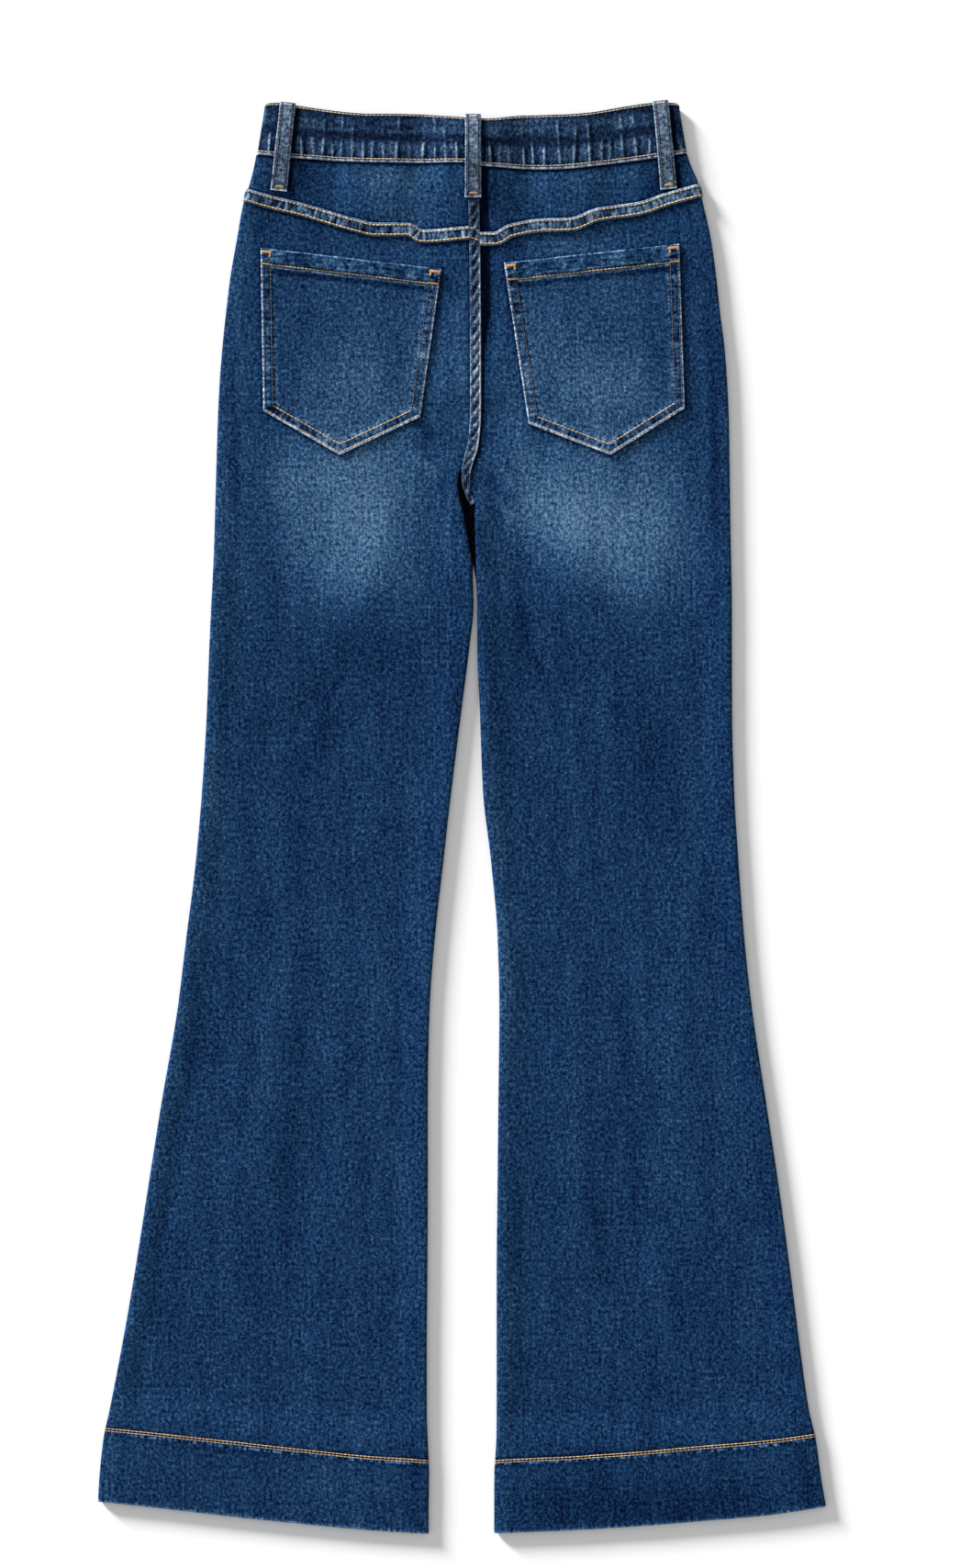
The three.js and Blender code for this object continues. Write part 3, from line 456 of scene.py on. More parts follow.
FRONT_LOOPS = {
    "left": front_loop_ends(CENTRE_FRONT_X - FRONT_LOOP_OFFSET),
    "right": front_loop_ends(CENTRE_FRONT_X + FRONT_LOOP_OFFSET),
}
BUTTON_Y = float(front_band_lower(CENTRE_FRONT_X)) + BUTTON_ABOVE
FLY_FOOT_Y = float(front_band_lower(CENTRE_FRONT_X)) - FLY_LENGTH
FLY_LAYER = CLOTH + SEAM_GAP
BAND_LAYER = BAND_CLOTH + SEAM_GAP


# Heights

def lift(x, y):
    """Room for the button and the front loops, which the garment lies on."""
    button = np.hypot(x - CENTRE_FRONT_X, y - BUTTON_Y)
    height = (BUTTON_HEIGHT + SEAM_GAP) * plateau(button, BUTTON_RADIUS + 4, 34)
    for loop in FRONT_LOOPS.values():
        middle, half = (loop["top"] + loop["foot"]) / 2, (loop["top"] - loop["foot"]) / 2
        share = plateau(x - loop["x"], 12.5, 22) * plateau(y - middle, half + 8, 26)
        height = height + (LOOP_CLOTH + SEAM_GAP) * share
    return height


def fly_share(y):
    """0 below the fly and 1 at it."""
    return ease((y - (FLY_FOOT_Y - 20)) / 20)


def fly_rise(x, y):
    """How far the right front lies over the fly's lap."""
    return FLY_LAYER * fly_share(y) * (1 - ease((x - (CENTRE_FRONT_X + FLY_LAP + 5)) / 9))


def lap_room(x, y):
    """Room that the laps of the fly and the band take under the back."""
    layer = mix(FLY_LAYER * fly_share(y + 8), BAND_LAYER, ease((y - 470) / 55))
    return layer * plateau(x - CENTRE_FRONT_X - 2, 14, 34)


def line_shape(line, x, y):
    """From 0 to 1: a slightly waved line of BACK_FOLDS or MARKS, which dies away at its ends."""
    along_x, along_y = line["to_x"] - line["from_x"], line["to_y"] - line["from_y"]
    length = math.hypot(along_x, along_y)
    share = ((x - line["from_x"]) * along_x + (y - line["from_y"]) * along_y) / length ** 2
    across = ((x - line["from_x"]) * along_y - (y - line["from_y"]) * along_x) / length
    across = across + 0.35 * line["half_width"] * np.sin(share * 5 + line["from_x"])
    return bell(across, line["half_width"]) * ease(share / 0.35) * ease((1 - share) / 0.35)


def back_height(half, x, y):
    """Height of the back's upper face over the floor, past the rounded fold at its edges."""
    legs = 2 * CLOTH + SEAM_GAP + AIR
    hem = 2 * DOUBLE_CLOTH + SEAM_GAP
    hem_share = 1 - ease((y - (half.hem_edge(x) + HEM_DEPTH + 4)) / 34)
    seat = SEAT_FULLNESS * ease((y - 200) / 110) * (1 - 0.35 * ease((y - 440) / 70))
    side_roll = bell(np.maximum(0, half.inward * (x - half.side(y)) - FOLD_RADIUS), FOLD_REACH)
    inner_distance = half.inward * (half.back_inner(y) - x) - FOLD_RADIUS
    inner_roll = half.back_fold(y) * bell(np.maximum(0, inner_distance), FOLD_REACH)
    roll = np.minimum(1, side_roll + inner_roll)
    folds = sum(fold["height"] * line_shape(fold, x, y) for fold in BACK_FOLDS)
    folds = folds + 0.22 * soft_noise(x, y, 34, 60, 5) + 0.12 * soft_noise(x, y, 11, 26, 6)
    flat = mix(legs + seat, hem, hem_share) + folds * (1 - 0.75 * hem_share)
    return mix(flat, FOLD_HEIGHT, roll) + lift(x, y) + lap_room(x, y)


def top_height(x, y):
    x, y = np.asarray(x, float), np.asarray(y, float)
    return np.where(x < seat_seam(y), back_height(LEFT, x, y), back_height(RIGHT, x, y))


def fade_and_shade_at(x, y):
    """How much lighter or darker the wash left the cloth, with painted shade in a few of the ovals."""
    total = sum(f["amount"] * bell(x - f["x"], f["radius_x"]) * bell(y - f["y"], f["radius_y"])
                for f in FADES_AND_SHADE)
    total = total + sum(mark["amount"] * line_shape(mark, x, y) for mark in MARKS)
    return total + 0.016 * soft_noise(x, y, 24, 70, 11) + 0.014 * soft_noise(x, y, 7, 50, 12)


def segment_distance(x, y, a, b):
    """Distance to a straight line between two points, and how far along it the nearest point lies."""
    ax, ay, bx, by = *a, *b
    length = math.hypot(bx - ax, by - ay)
    t = np.clip(((x - ax) * (bx - ax) + (y - ay) * (by - ay)) / length ** 2, 0, 1)
    return np.hypot(x - ax - t * (bx - ax), y - ay - t * (by - ay)), t * length


seat_ridge_x = smooth_line([(y, x) for x, y in reversed(SEAT_RIDGE_PATH)])


def painted_loop_shade(x, y):
    """Painted shade in the gaps on both sides of the belt loops."""
    total = 0
    for loop in BACK_LOOPS.values():
        (foot_x, foot_y), (top_x, top_y) = loop["foot"], loop["top"]
        share = np.clip((y - foot_y) / (top_y - foot_y), 0, 1)
        across = x - mix(foot_x, top_x, share)
        inside = ease((y - foot_y + 2) / 3)
        half = LOOP_WIDTH * (1 - 0.04 * share) / 2
        total = total - 0.2 * inside * bell(np.maximum(0, np.abs(across - half - 1.4) - 1.2), 1.0)
        total = total - 0.15 * inside * bell(across + half + 0.5, 1.1)
    return total


def painted_shade_by_pieces(half, x, y):
    """Painted shade on the back close beside the pieces sewn on it: under the band, along the yoke seams,
    beside the seat seam and mostly to its right, round the pockets and beside the loops.
    """
    total = -0.26 * bell(np.maximum(0, band_lower(x) - y - 0.8), 1.3)
    beside = YOKE_RIDGE_WIDTH / 2 + 0.4
    total = total - bells(y - half.yoke_seam(x), (beside, 1.3, 0.17), (-beside, 1.5, 0.12))
    right = x - seat_ridge_x(y) - SEAT_RIDGE_WIDTH / 2
    width = mix(1.8, 7.2, ease((y - 372) / 40))
    along_ridge = 0.24 * plateau(right - width / 2, width / 2 - 0.6, 1.8)
    along_ridge = along_ridge + 0.12 * bell(right + SEAT_RIDGE_WIDTH + 0.3, 1.3)
    total = total - along_ridge * ease((y - 262) / 30)
    for pocket in BACK_POCKETS.values():
        corners = [pocket[key] for key in POCKET_CORNERS]
        sides = np.min([segment_distance(x, y, *ends)[0] for ends in pairs(corners)], axis=0)
        mouth = segment_distance(x, y, corners[-1], corners[0])[0]
        total = total - 0.16 * bell(sides, 1.6) - 0.08 * bell(mouth, 1.6)
    return total + painted_loop_shade(x, y)


# Meshes

def new_object(name, points, faces, attributes, materials, face_material=None, smooth_angle=38):
    """An object from points in millimetres, faces of 3 or 4 corners and per-point attributes."""
    mesh = bpy.data.meshes.new(name)
    points = np.asarray(points, float)
    mesh.from_pydata((points * MM).tolist(), [], [list(f) for f in faces])
    for material in materials:
        mesh.materials.append(material)
    for key, values in attributes.items():
        values = np.asarray(values, np.float32)
        kind, field = ("FLOAT", "value") if values.ndim == 1 else ("FLOAT_VECTOR", "vector")
        mesh.attributes.new(key, kind, "POINT").data.foreach_set(field, values.ravel())
    mesh.polygons.foreach_set("use_smooth", [True] * len(mesh.polygons))
    if face_material is not None:
        mesh.polygons.foreach_set("material_index", face_material)
    mesh.set_sharp_from_angle(angle=math.radians(smooth_angle))
    mesh.validate()
    obj = bpy.data.objects.new(name, mesh)
    bpy.context.scene.collection.objects.link(obj)
    return obj


def wall_faces(rows, columns, flip):
    """Faces of a closed wall between two grids: the outer face's, the inner face's, then its rims'."""
    i, j = (index.ravel() for index in np.mgrid[:rows - 1, :columns - 1])
    r, c = np.arange(rows - 1), np.arange(columns - 1)
    last_row, last_column = rows - 1, columns - 1

    def quads(*corners):
        return np.stack([(layer * rows + row) * columns + column for layer, row, column in corners], 1)

    faces = np.concatenate([
        quads((0, i, j), (0, i, j + 1), (0, i + 1, j + 1), (0, i + 1, j)),
        quads((1, i, j), (1, i + 1, j), (1, i + 1, j + 1), (1, i, j + 1)),
        quads((0, r, 0), (0, r + 1, 0), (1, r + 1, 0), (1, r, 0)),
        quads((0, r, last_column), (1, r, last_column), (1, r + 1, last_column), (0, r + 1, last_column)),
        quads((0, 0, c), (1, 0, c), (1, 0, c + 1), (0, 0, c + 1)),
        quads((0, last_row, c), (0, last_row, c + 1), (1, last_row, c + 1), (1, last_row, c)),
    ])
    return faces[:, ::-1] if flip else faces


class Cloth:
    """A cloth wall: two grids of points, with the place along its rows and columns of each line."""

    def __init__(self, name, outer, inner, attributes, materials, flip, row_places, column_places,
                 reverse=None, inner_painted_shade=0):
        rows, columns = outer.shape[:2]
        points = np.concatenate([outer.reshape(-1, 3), inner.reshape(-1, 3)])
        doubled = {}
        for key, values in attributes.items():
            flat = np.reshape(values, (rows * columns, -1)).squeeze()
            under = np.zeros_like(flat) if key in ("wear", "seam") else flat
            if key == "fade_and_shade" and reverse is not None:
                under = np.broadcast_to(inner_painted_shade, (rows, columns)).ravel()
            doubled[key] = np.concatenate([flat, under])
        faces = wall_faces(rows, columns, flip)
        index = np.zeros(len(faces), int)
        if reverse is not None:
            count = (rows - 1) * (columns - 1)
            index[count:2 * count] = np.broadcast_to(reverse, (rows - 1, columns - 1)).ravel()
        self.obj = new_object(name, points, faces, doubled, materials, index)
        self.grid = outer
        self.row_places, self.column_places = row_places, column_places
        self.up = -1 if flip else 1

    def points(self, along, across):
        """Points and normals of the outer face at places along the rows and columns."""
        along, across = np.broadcast_arrays(np.asarray(along, float), np.asarray(across, float))
        fi = np.interp(along, self.row_places, np.arange(len(self.row_places)))
        fj = np.interp(across, self.column_places, np.arange(len(self.column_places)))
        i = np.clip(fi.astype(int), 0, self.grid.shape[0] - 2)
        j = np.clip(fj.astype(int), 0, self.grid.shape[1] - 2)
        s, t = (fi - i)[:, None], (fj - j)[:, None]
        a, b = self.grid[i, j], self.grid[i, j + 1]
        c, d = self.grid[i + 1, j], self.grid[i + 1, j + 1]
        points = mix(mix(a, b, t), mix(c, d, t), s)
        normals = np.cross(mix(b - a, d - c, s), mix(c - a, d - b, t)) * self.up
        return points, normals / np.maximum(np.linalg.norm(normals, axis=1), 1e-9)[:, None]


def offset_inside(outer, thickness, facing, arc_out):
    """Inner points of a panel, along each row's normal in the plane across the leg."""
    dx, dz = np.gradient(outer[..., 0], axis=1), np.gradient(outer[..., 2], axis=1)
    turn = np.sign(dx) * facing
    turn = np.where(turn == 0, facing, turn)
    size = np.maximum(np.hypot(dx, dz), 1e-9)
    out_x, out_z = -turn * dz / size, turn * dx / size
    known = ~np.isnan(arc_out[..., 0])
    out_x, out_z = np.where(known, arc_out[..., 0], out_x), np.where(known, arc_out[..., 1], out_z)
    inner = outer.copy()
    inner[..., 0] -= thickness * out_x
    inner[..., 2] -= thickness * out_z
    return inner


def panel_middle(half):
    """Where across a panel its levels are measured."""
    return float((half.side(400) + CENTRE_FRONT_X) / 2)


def panel(name, half, levels, lower, upper, inner_edge, fold, height, rim, facing, columns, hemmed=True,
          shade=None, painted_crotch_shade=None, dent=None):
    """A panel from its side seam to its inner edge, rounded where the leg folds."""
    middle = panel_middle(half)
    lowest, highest = float(lower(middle)), float(upper(middle))
    up = (levels - lowest) / (highest - lowest)
    inward = half.inward

    def row_y(x, share):
        return mix(lower(x), upper(x), share)

    inner_y = row_y(inner_edge(levels), up)[:, None]
    side_x = half.side(row_y(half.side(levels), up))[:, None]
    inner_x = inner_edge(inner_y)
    up = up[:, None]
    arc = np.linspace(0, math.pi / 2, 8)[:-1]
    back_arc, n = arc[::-1], len(arc)
    start, end = side_x + inward * FOLD_RADIUS, inner_x - inward * FOLD_RADIUS
    x = np.concatenate([side_x + inward * FOLD_RADIUS * (1 - np.cos(arc)),
                        mix(start, end, np.linspace(0, 1, columns)),
                        inner_x - inward * FOLD_RADIUS * (1 - np.cos(back_arc))], 1)
    y = row_y(x, up)
    z = height(x, y)
    amount = fold(inner_y)
    z_start, z_end = height(start, row_y(start, up)), height(end, row_y(end, up))
    z[:, :n] = z_start + (rim - z_start) * (1 - np.sin(arc))
    z[:, -n:] = z_end + (rim - z_end) * (1 - np.sin(back_arc)) * amount
    arc_out = np.full(x.shape + (2,), np.nan)
    arc_out[:, :n] = vectors(-inward * np.cos(arc), facing * np.sin(arc))
    out_x = inward * np.cos(back_arc) * amount
    out_z = facing * mix(1, np.sin(back_arc), amount)
    arc_out[:, -n:] = vectors(out_x, out_z) / np.hypot(out_x, out_z)[..., None]
    outer = vectors(x, y, z)
    thick = np.where(levels - lowest < HEM_DEPTH, DOUBLE_CLOTH, CLOTH)[:, None] if hemmed else CLOTH
    inner = offset_inside(outer, thick, facing, arc_out)
    from_hem = y - lower(x)
    if hemmed:
        outer[..., 2] -= facing * (round_drop(from_hem, HEM_ROUND) + dent(x, y, from_hem))
    from_side, from_inner = np.abs(x - side_x), np.abs(x - inner_x)
    # Painted light and shade along the leg's folded edges, set by which edge faces the lamp.
    fade_and_shade = fade_and_shade_at(x, y) - 0.035 * bell(from_side, 6) - 0.03 * bell(from_inner, 5) * amount
    edges = [(from_side, 1), (from_inner, amount)]
    (lit, lit_share), (shaded, shaded_share) = edges if half is LEFT else edges[::-1]
    fade_and_shade = fade_and_shade + lit_share * bells(lit, (4, 4, 0.065), (10.5, 3.5, 0.035), (0, 1.4, -0.04))
    fade_and_shade = fade_and_shade + shaded_share * bells(shaded, (1.8, 1.3, 0.09), (12.5, 4.5, -0.04))
    if shade is not None:
        fade_and_shade = fade_and_shade + shade(x, y)
    wear, seam = 0 * x, vectors(x, from_hem, 0)
    if hemmed:
        below = HEM_DEPTH - from_hem
        # Painted shade in the sunk lines along the hem's rows, and a lighter band just below them.
        fade_and_shade = fade_and_shade - bells(below, (-1.2, 0.8, 0.11), (HEM_ROW_GAP / 2, 0.7, 0.13), (5.2, 0.9, 0.07))
        fade_and_shade = fade_and_shade + 0.04 * plateau(below - 3.3, 0.6, 1.0)
        seam[..., 2] = 0.26 * plateau(below - 3.3, 0.5, 0.9) + 0.06 * bell(from_hem - 2.5, 2.2)
        wear = 0.42 * bell(from_hem - 0.4, 1.1)
    attributes = {"fade_and_shade": fade_and_shade, "wear": wear, "weave": vectors(x, y, 0), "seam": seam}
    reverse = from_hem[:-1, :-1] > HEM_DEPTH if hemmed else True
    places = np.concatenate([np.arange(n) - n, np.linspace(0, 100, columns), 101 + np.arange(n)])
    inner_painted_shade = 0 if painted_crotch_shade is None else painted_crotch_shade(x, y)
    return Cloth(name, outer, inner, attributes, [DENIM, DENIM_REVERSE], inward * facing < 0,
                 levels - lowest, places, reverse, inner_painted_shade)


def hem_levels(low):
    """Levels at a hem: close at its edge and at its stitched row."""
    near_edge = [0, 0.15, 0.45, 1, 2.2]
    near_stitch = [HEM_DEPTH - below for below in (
        6.4, 5.2, 4.4, 3.8, 3.3, 2.8, 2.3, 1.9, 1.4, 0.95, 0.5, 0, -0.5, -1, -1.6, -2.4, -3.6, -5)]
    return low + np.concatenate([near_edge, np.arange(6, HEM_DEPTH - 8, LEG_STEP), near_stitch])


def stretch(start, end, step):
    """Evenly spaced levels after a start, up to and with an end."""
    count = max(1, round((end - start) / step))
    return start + (end - start) * (np.arange(count) + 1) / count


# Finish

def srgb(*bytes_):
    """A colour given as 0 to 255, as the shader's linear numbers."""
    linear = [(b / 255 / 12.92) if b <= 10 else ((b / 255 + 0.055) / 1.055) ** 2.4 for b in bytes_]
    return (*linear, 1)


class Nodes:
    """Small helper that adds nodes to a material and links them."""

    def __init__(self, name):
        self.material = bpy.data.materials.new(name)
        self.material.use_nodes = True
        self.tree = self.material.node_tree
        self.shader = self.tree.nodes["Principled BSDF"]

    def add(self, kind, inputs=None, **settings):
        node = self.tree.nodes.new(kind)
        for key, value in settings.items():
            setattr(node, key, value)
        for key, value in (inputs or {}).items():
            self.put(node.inputs[key], value)
        return node

    def put(self, socket, value):
        if isinstance(value, bpy.types.NodeSocket):
            self.tree.links.new(value, socket)
        else:
            socket.default_value = value

    def math(self, operation, a, b=0.0):
        return self.add("ShaderNodeMath", {0: a, 1: b}, operation=operation).outputs[0]

    def clamped(self, value, low, high):
        return self.math("MAXIMUM", self.math("MINIMUM", value, high), low)

    def total(self, *values):
        result = values[0]
        for value in values[1:]:
            result = self.math("ADD", result, value)
        return result

    def around(self, value, amount):
        """A texture's swing about its middle, times an amount."""
        return self.math("MULTIPLY", self.math("SUBTRACT", value, 0.5), amount)

    def attribute(self, name, output="Fac"):
        return self.add("ShaderNodeAttribute", attribute_name=name).outputs[output]

    def noise(self, vector, scale, detail, roughness=0.5, stretch=(1, 1, 1)):
        mapping = self.add("ShaderNodeMapping", {"Vector": vector, "Scale": stretch})
        return self.add("ShaderNodeTexNoise", {
            "Vector": mapping.outputs[0], "Scale": scale, "Detail": detail, "Roughness": roughness,
        }).outputs["Fac"]

    def finish(self, colour, height, strength, distance, constants):
        """The shader's colour, its bump in metres, and its plain numbers."""
        bump = self.add("ShaderNodeBump", {"Height": height, "Strength": strength, "Distance": distance})
        self.put(self.shader.inputs["Base Color"], colour)
        self.put(self.shader.inputs["Normal"], bump.outputs[0])
        for key, value in constants.items():
            self.shader.inputs[key].default_value = value
        return self.material

    def ramp(self, value, stops):
        node = self.add("ShaderNodeValToRGB", {"Fac": value})
        elements = node.color_ramp.elements
        while len(elements) < len(stops):
            elements.new(0.5)
        for element, (position, colour) in zip(elements, stops):
            element.position, element.color = position, srgb(*colour)
        return node.outputs["Color"]

    def mixed(self, amount, a, b):
        node = self.add("ShaderNodeMix", {"Factor": amount}, data_type="RGBA")
        colours = [socket for socket in node.inputs if socket.type == "RGBA"]
        self.put(colours[0], a)
        self.put(colours[1], b)
        return next(socket for socket in node.outputs if socket.type == "RGBA")


INDIGO = [(0.0, (1, 7, 26)), (0.1, (4, 29, 64)), (0.225, (23, 55, 90)), (0.3, (36, 70, 105)),
          (0.425, (66, 99, 131)), (0.575, (98, 129, 159)), (0.75, (140, 160, 188)), (1.0, (196, 204, 220))]
GREYED = [(0.0, (2, 6, 14)), (0.1, (13, 24, 42)), (0.225, (30, 46, 68)), (0.33, (54, 72, 95)),
          (0.425, (81, 97, 113)), (0.575, (120, 136, 153)), (0.75, (154, 165, 180)), (1.0, (208, 210, 216))]
# PALE_INDIGO's near-black first stop is the colour of the painted shade on the reverse at the crotch.
PALE_INDIGO = [(0.0, (3, 5, 9)), (0.3, (60, 78, 100)), (0.5, (120, 138, 158)), (1.0, (190, 200, 208))]
WEAVE_BUMP = 0.1 * MM
TWIST_BUMP = 0.06 * MM
TWILL_TURN = math.radians(-58)
DENIM_FINISH = {"Roughness": 0.9, "Specular IOR Level": 0.04, "Sheen Weight": 0.02, "Sheen Roughness": 0.5,
                "Sheen Tint": srgb(150, 175, 205)}
THREAD_FINISH = {"Roughness": 0.62, "Specular IOR Level": 0.25}


def denim(name, level, grey=0.0, stops=INDIGO):
    """Indigo twill: mottled grain, slubs along the warp, twill lines, and fade and wear from the mesh."""
    n = Nodes(name)
    weave, seam = n.attribute("weave", "Vector"), n.attribute("seam", "Vector")
    fade_and_shade, wear = n.attribute("fade_and_shade"), n.attribute("wear")
    speck = n.noise(weave, 0.39, 1.2, 0.6, (1, 0.86, 1))
    fine = n.noise(weave, 0.92, 1.0, 0.5, (1, 0.82, 1))
    slubs = n.noise(weave, 1.0, 2.0, 0.5, (0.55, 0.06, 1))
    streak = n.noise(weave, 1.0, 1.0, 0.5, (0.2, 0.018, 1))
    band = n.noise(weave, 1.0, 1.0, 0.5, (0.06, 0.009, 1))
    cloud = n.noise(weave, 0.03, 2.0)
    pucker = n.noise(seam, 1.0, 1.0, 0.5, (0.38, 0.1, 0))
    lines = n.add("ShaderNodeMapping", {"Vector": weave, "Rotation": (0, 0, TWILL_TURN)})
    twill = n.add("ShaderNodeTexWave", {
        "Vector": lines.outputs[0], "Scale": 0.143, "Distortion": 1.6, "Detail": 1.0, "Detail Scale": 1.2,
    }, wave_type="BANDS").outputs["Fac"]
    swing = n.clamped(n.around(pucker, 6.4), -1.0, 1.0)
    marks = n.math("MULTIPLY", swing, n.add("ShaderNodeSeparateXYZ", {"Vector": seam}).outputs["Z"])
    # Faded cloth shows its grain more strongly.
    strength = n.math("ADD", 1.0, n.math("MULTIPLY", fade_and_shade, 1.3))
    grain = n.total(
        n.around(speck, 0.64), n.around(fine, 0.42), n.around(slubs, 0.22), n.around(twill, 0.04))
    broad = n.total(n.around(streak, 0.065), n.around(band, 0.09), n.around(cloud, 0.08))
    rubbed = n.math("MULTIPLY", wear, n.total(0.92, n.around(speck, 0.8), n.math("MULTIPLY", swing, 0.2)))
    # The fade attribute carries both the wash and the painted shade.
    total = n.total(n.math("MULTIPLY", grain, strength), broad, fade_and_shade, marks, rubbed, level)
    total = n.clamped(total, 0.0, 1.0)
    colour = n.ramp(total, stops)
    if grey:
        colour = n.mixed(grey, colour, n.ramp(total, GREYED))
    relief = n.total(speck, n.math("MULTIPLY", fine, 0.8), n.math("MULTIPLY", twill, 0.2))
    return n.finish(colour, relief, 0.6, WEAVE_BUMP, DENIM_FINISH)


def thread(name, end, middle, light):
    """Twisted sewing thread, with painted shade where each stitch dips into the cloth."""
    n = Nodes(name)
    reach = n.attribute("reach")
    dips = n.math("POWER", n.math("ABSOLUTE", reach), 2.6)
    twist = n.math("SINE", n.math("ADD", n.math("MULTIPLY", reach, 9.0), n.attribute("turn")))
    value = n.total(0.64, n.math("MULTIPLY", dips, -0.42), n.around(n.attribute("tone"), 0.5),
                    n.math("MULTIPLY", twist, 0.1))
    colour = n.ramp(value, [(0.0, end), (0.55, middle), (1.0, light)])
    return n.finish(colour, twist, 0.5, TWIST_BUMP, THREAD_FINISH)


def metal(name):
    """Dull antique brass, darker in its hollows."""
    n = Nodes(name)
    place = n.add("ShaderNodeTexCoord").outputs["Object"]
    patina = n.noise(place, 1 / (2.5 * MM), 3.0, 0.6)
    n.put(n.shader.inputs["Base Color"], n.ramp(patina, [(0.3, (92, 80, 58)), (0.7, (168, 152, 118))]))
    n.put(n.shader.inputs["Roughness"], n.math("ADD", 0.25, n.math("MULTIPLY", patina, 0.3)))
    n.shader.inputs["Metallic"].default_value = 1.0
    return n.material


DENIM = denim("denim", 0.18)
DENIM_REVERSE = denim("denim_reverse", 0.45, stops=PALE_INDIGO)
BAND_DENIM = denim("waistband_denim", 0.16, grey=0.56)
POCKET_DENIM = denim("pocket_denim", 0.172, grey=0.05)
RIDGE_DENIM = denim("ridge_denim", 0.3, grey=0.42)
SEAT_DENIM = denim("seat_denim", 0.25, grey=0.45)
WORN_DENIM = denim("worn_denim", 0.35, grey=0.85)
GOLD_THREAD = thread("gold_thread", (98, 74, 46), (184, 152, 106), (226, 204, 162))
TAN_THREAD = thread("tan_thread", (74, 64, 56), (162, 144, 120), (212, 198, 174))
DULL_THREAD = thread("dull_thread", (18, 18, 26), (64, 58, 60), (118, 104, 90))
BARTACK_THREAD = thread("bartack_thread", (104, 72, 40), (192, 146, 88), (228, 192, 136))
BUTTON_METAL = metal("button_metal")


def dress(cloth, nodes):
    """Rides on the root and replaces its nodes."""
    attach(cloth.obj, "root")
    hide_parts(*nodes)


# Leg panels and yokes

def back_panel(half):
    middle = panel_middle(half)
    low, high = float(half.hem_edge(middle)), float(half.yoke_seam(middle)) - SEAM_GAP / 2
    levels = hem_levels(low)
    leg = stretch(levels[-1], SEAT_FROM_Y, LEG_STEP)
    levels = np.concatenate([levels, leg, stretch(SEAT_FROM_Y, high, SEAT_STEP)])
    return panel(
        f"cloth_back_{half.name}", half, levels, half.hem_edge, lambda x: half.yoke_seam(x) - SEAM_GAP / 2,
        half.back_inner, half.back_fold, lambda x, y: back_height(half, x, y), RIM["back"], 1,
        BACK_COLUMNS, shade=lambda x, y: painted_shade_by_pieces(half, x, y),
        dent=lambda x, y, from_hem: 0.3 * bell(from_hem - HEM_DEPTH + HEM_ROW_GAP / 2, 1.9))


# The fly's curved double row, and the straight row along its edge.
FLY_PATH = [(-30, FLY_FOOT_Y + FLY_LENGTH - 3), (-30, FLY_FOOT_Y + 42), (-24, FLY_FOOT_Y + 16),
            (-8, FLY_FOOT_Y - 3), (7, FLY_FOOT_Y - 9)]
FLY_ROW_SHIFT = 6
FLY_EDGE_ROW = [(11.5, FLY_FOOT_Y + 6), (11.5, FLY_FOOT_Y + FLY_LENGTH)]


def front_panel(half):
    middle = panel_middle(half)
    low, high = float(half.hem_edge(middle)), float(front_band_lower(middle)) - UNDER_BAND
    levels = hem_levels(low)
    levels = np.concatenate([levels, stretch(levels[-1], high, FRONT_STEP)])

    def height(x, y):
        return lift(x, y) + (fly_rise(x, y) if half is RIGHT else 0)

    def dent(x, y, from_hem):
        """The sewn rows sink in a little, so that they don't stand out of the face that rests."""
        rows = 0.8 * bell(from_hem - HEM_DEPTH + HEM_ROW_GAP / 2, 2.6)
        if half is LEFT:
            runs = [segment_distance(x - FLY_ROW_SHIFT / 2, y, *ends)[0] for ends in pairs(FLY_PATH)]
            edge = segment_distance(x, y, *FLY_EDGE_ROW)[0]
            rows = rows + 0.8 * np.maximum(plateau(np.min(runs, axis=0), 5, 6), plateau(edge, 3, 6))
        return rows

    def painted_crotch_shade(x, y):
        """Painted deep shade on the front's reverse, where it shows between the legs at the crotch."""
        return -0.5 * plateau(x, 34, 20) * plateau(y - 250, 90, 40)

    return panel(
        f"cloth_front_{half.name}", half, levels, half.hem_edge, lambda x: front_band_lower(x) - UNDER_BAND,
        half.front_inner, half.front_fold, height, RIM["front"], -1, FRONT_COLUMNS,
        painted_crotch_shade=painted_crotch_shade, dent=dent)


def yoke(half):
    def lower(x):
        return half.yoke_seam(x) + SEAM_GAP / 2

    def upper(x):
        return band_lower(x) - UNDER_BAND

    middle = panel_middle(half)
    levels = np.linspace(float(lower(middle)), float(upper(middle)), YOKE_ROWS)
    return panel(
        f"cloth_yoke_{half.name}", half, levels, lower, upper, half.back_inner, half.back_fold,
        lambda x, y: back_height(half, x, y), RIM["back"], 1, YOKE_COLUMNS, hemmed=False,
        shade=lambda x, y: painted_shade_by_pieces(half, x, y))


BACK = {half.name: back_panel(half) for half in HALVES}
FRONT = {half.name: front_panel(half) for half in HALVES}
YOKES = {half.name: yoke(half) for half in HALVES}
for side in ("left", "right"):
    dress(BACK[side], [f"back_{side}"])
    dress(FRONT[side], [f"front_{side}"])
    dress(YOKES[side], [f"yoke_{side}"])


# Waistband

BAND_RADIUS = BAND_CLOTH + (SEAM_GAP + AIR) / 2
BAND_HEIGHT = 40
BAND_SPAN = BAND_RIGHT_X - BAND_LEFT_X
BAND_ROWS = {"upper": 0.962, "lower": 0.066}


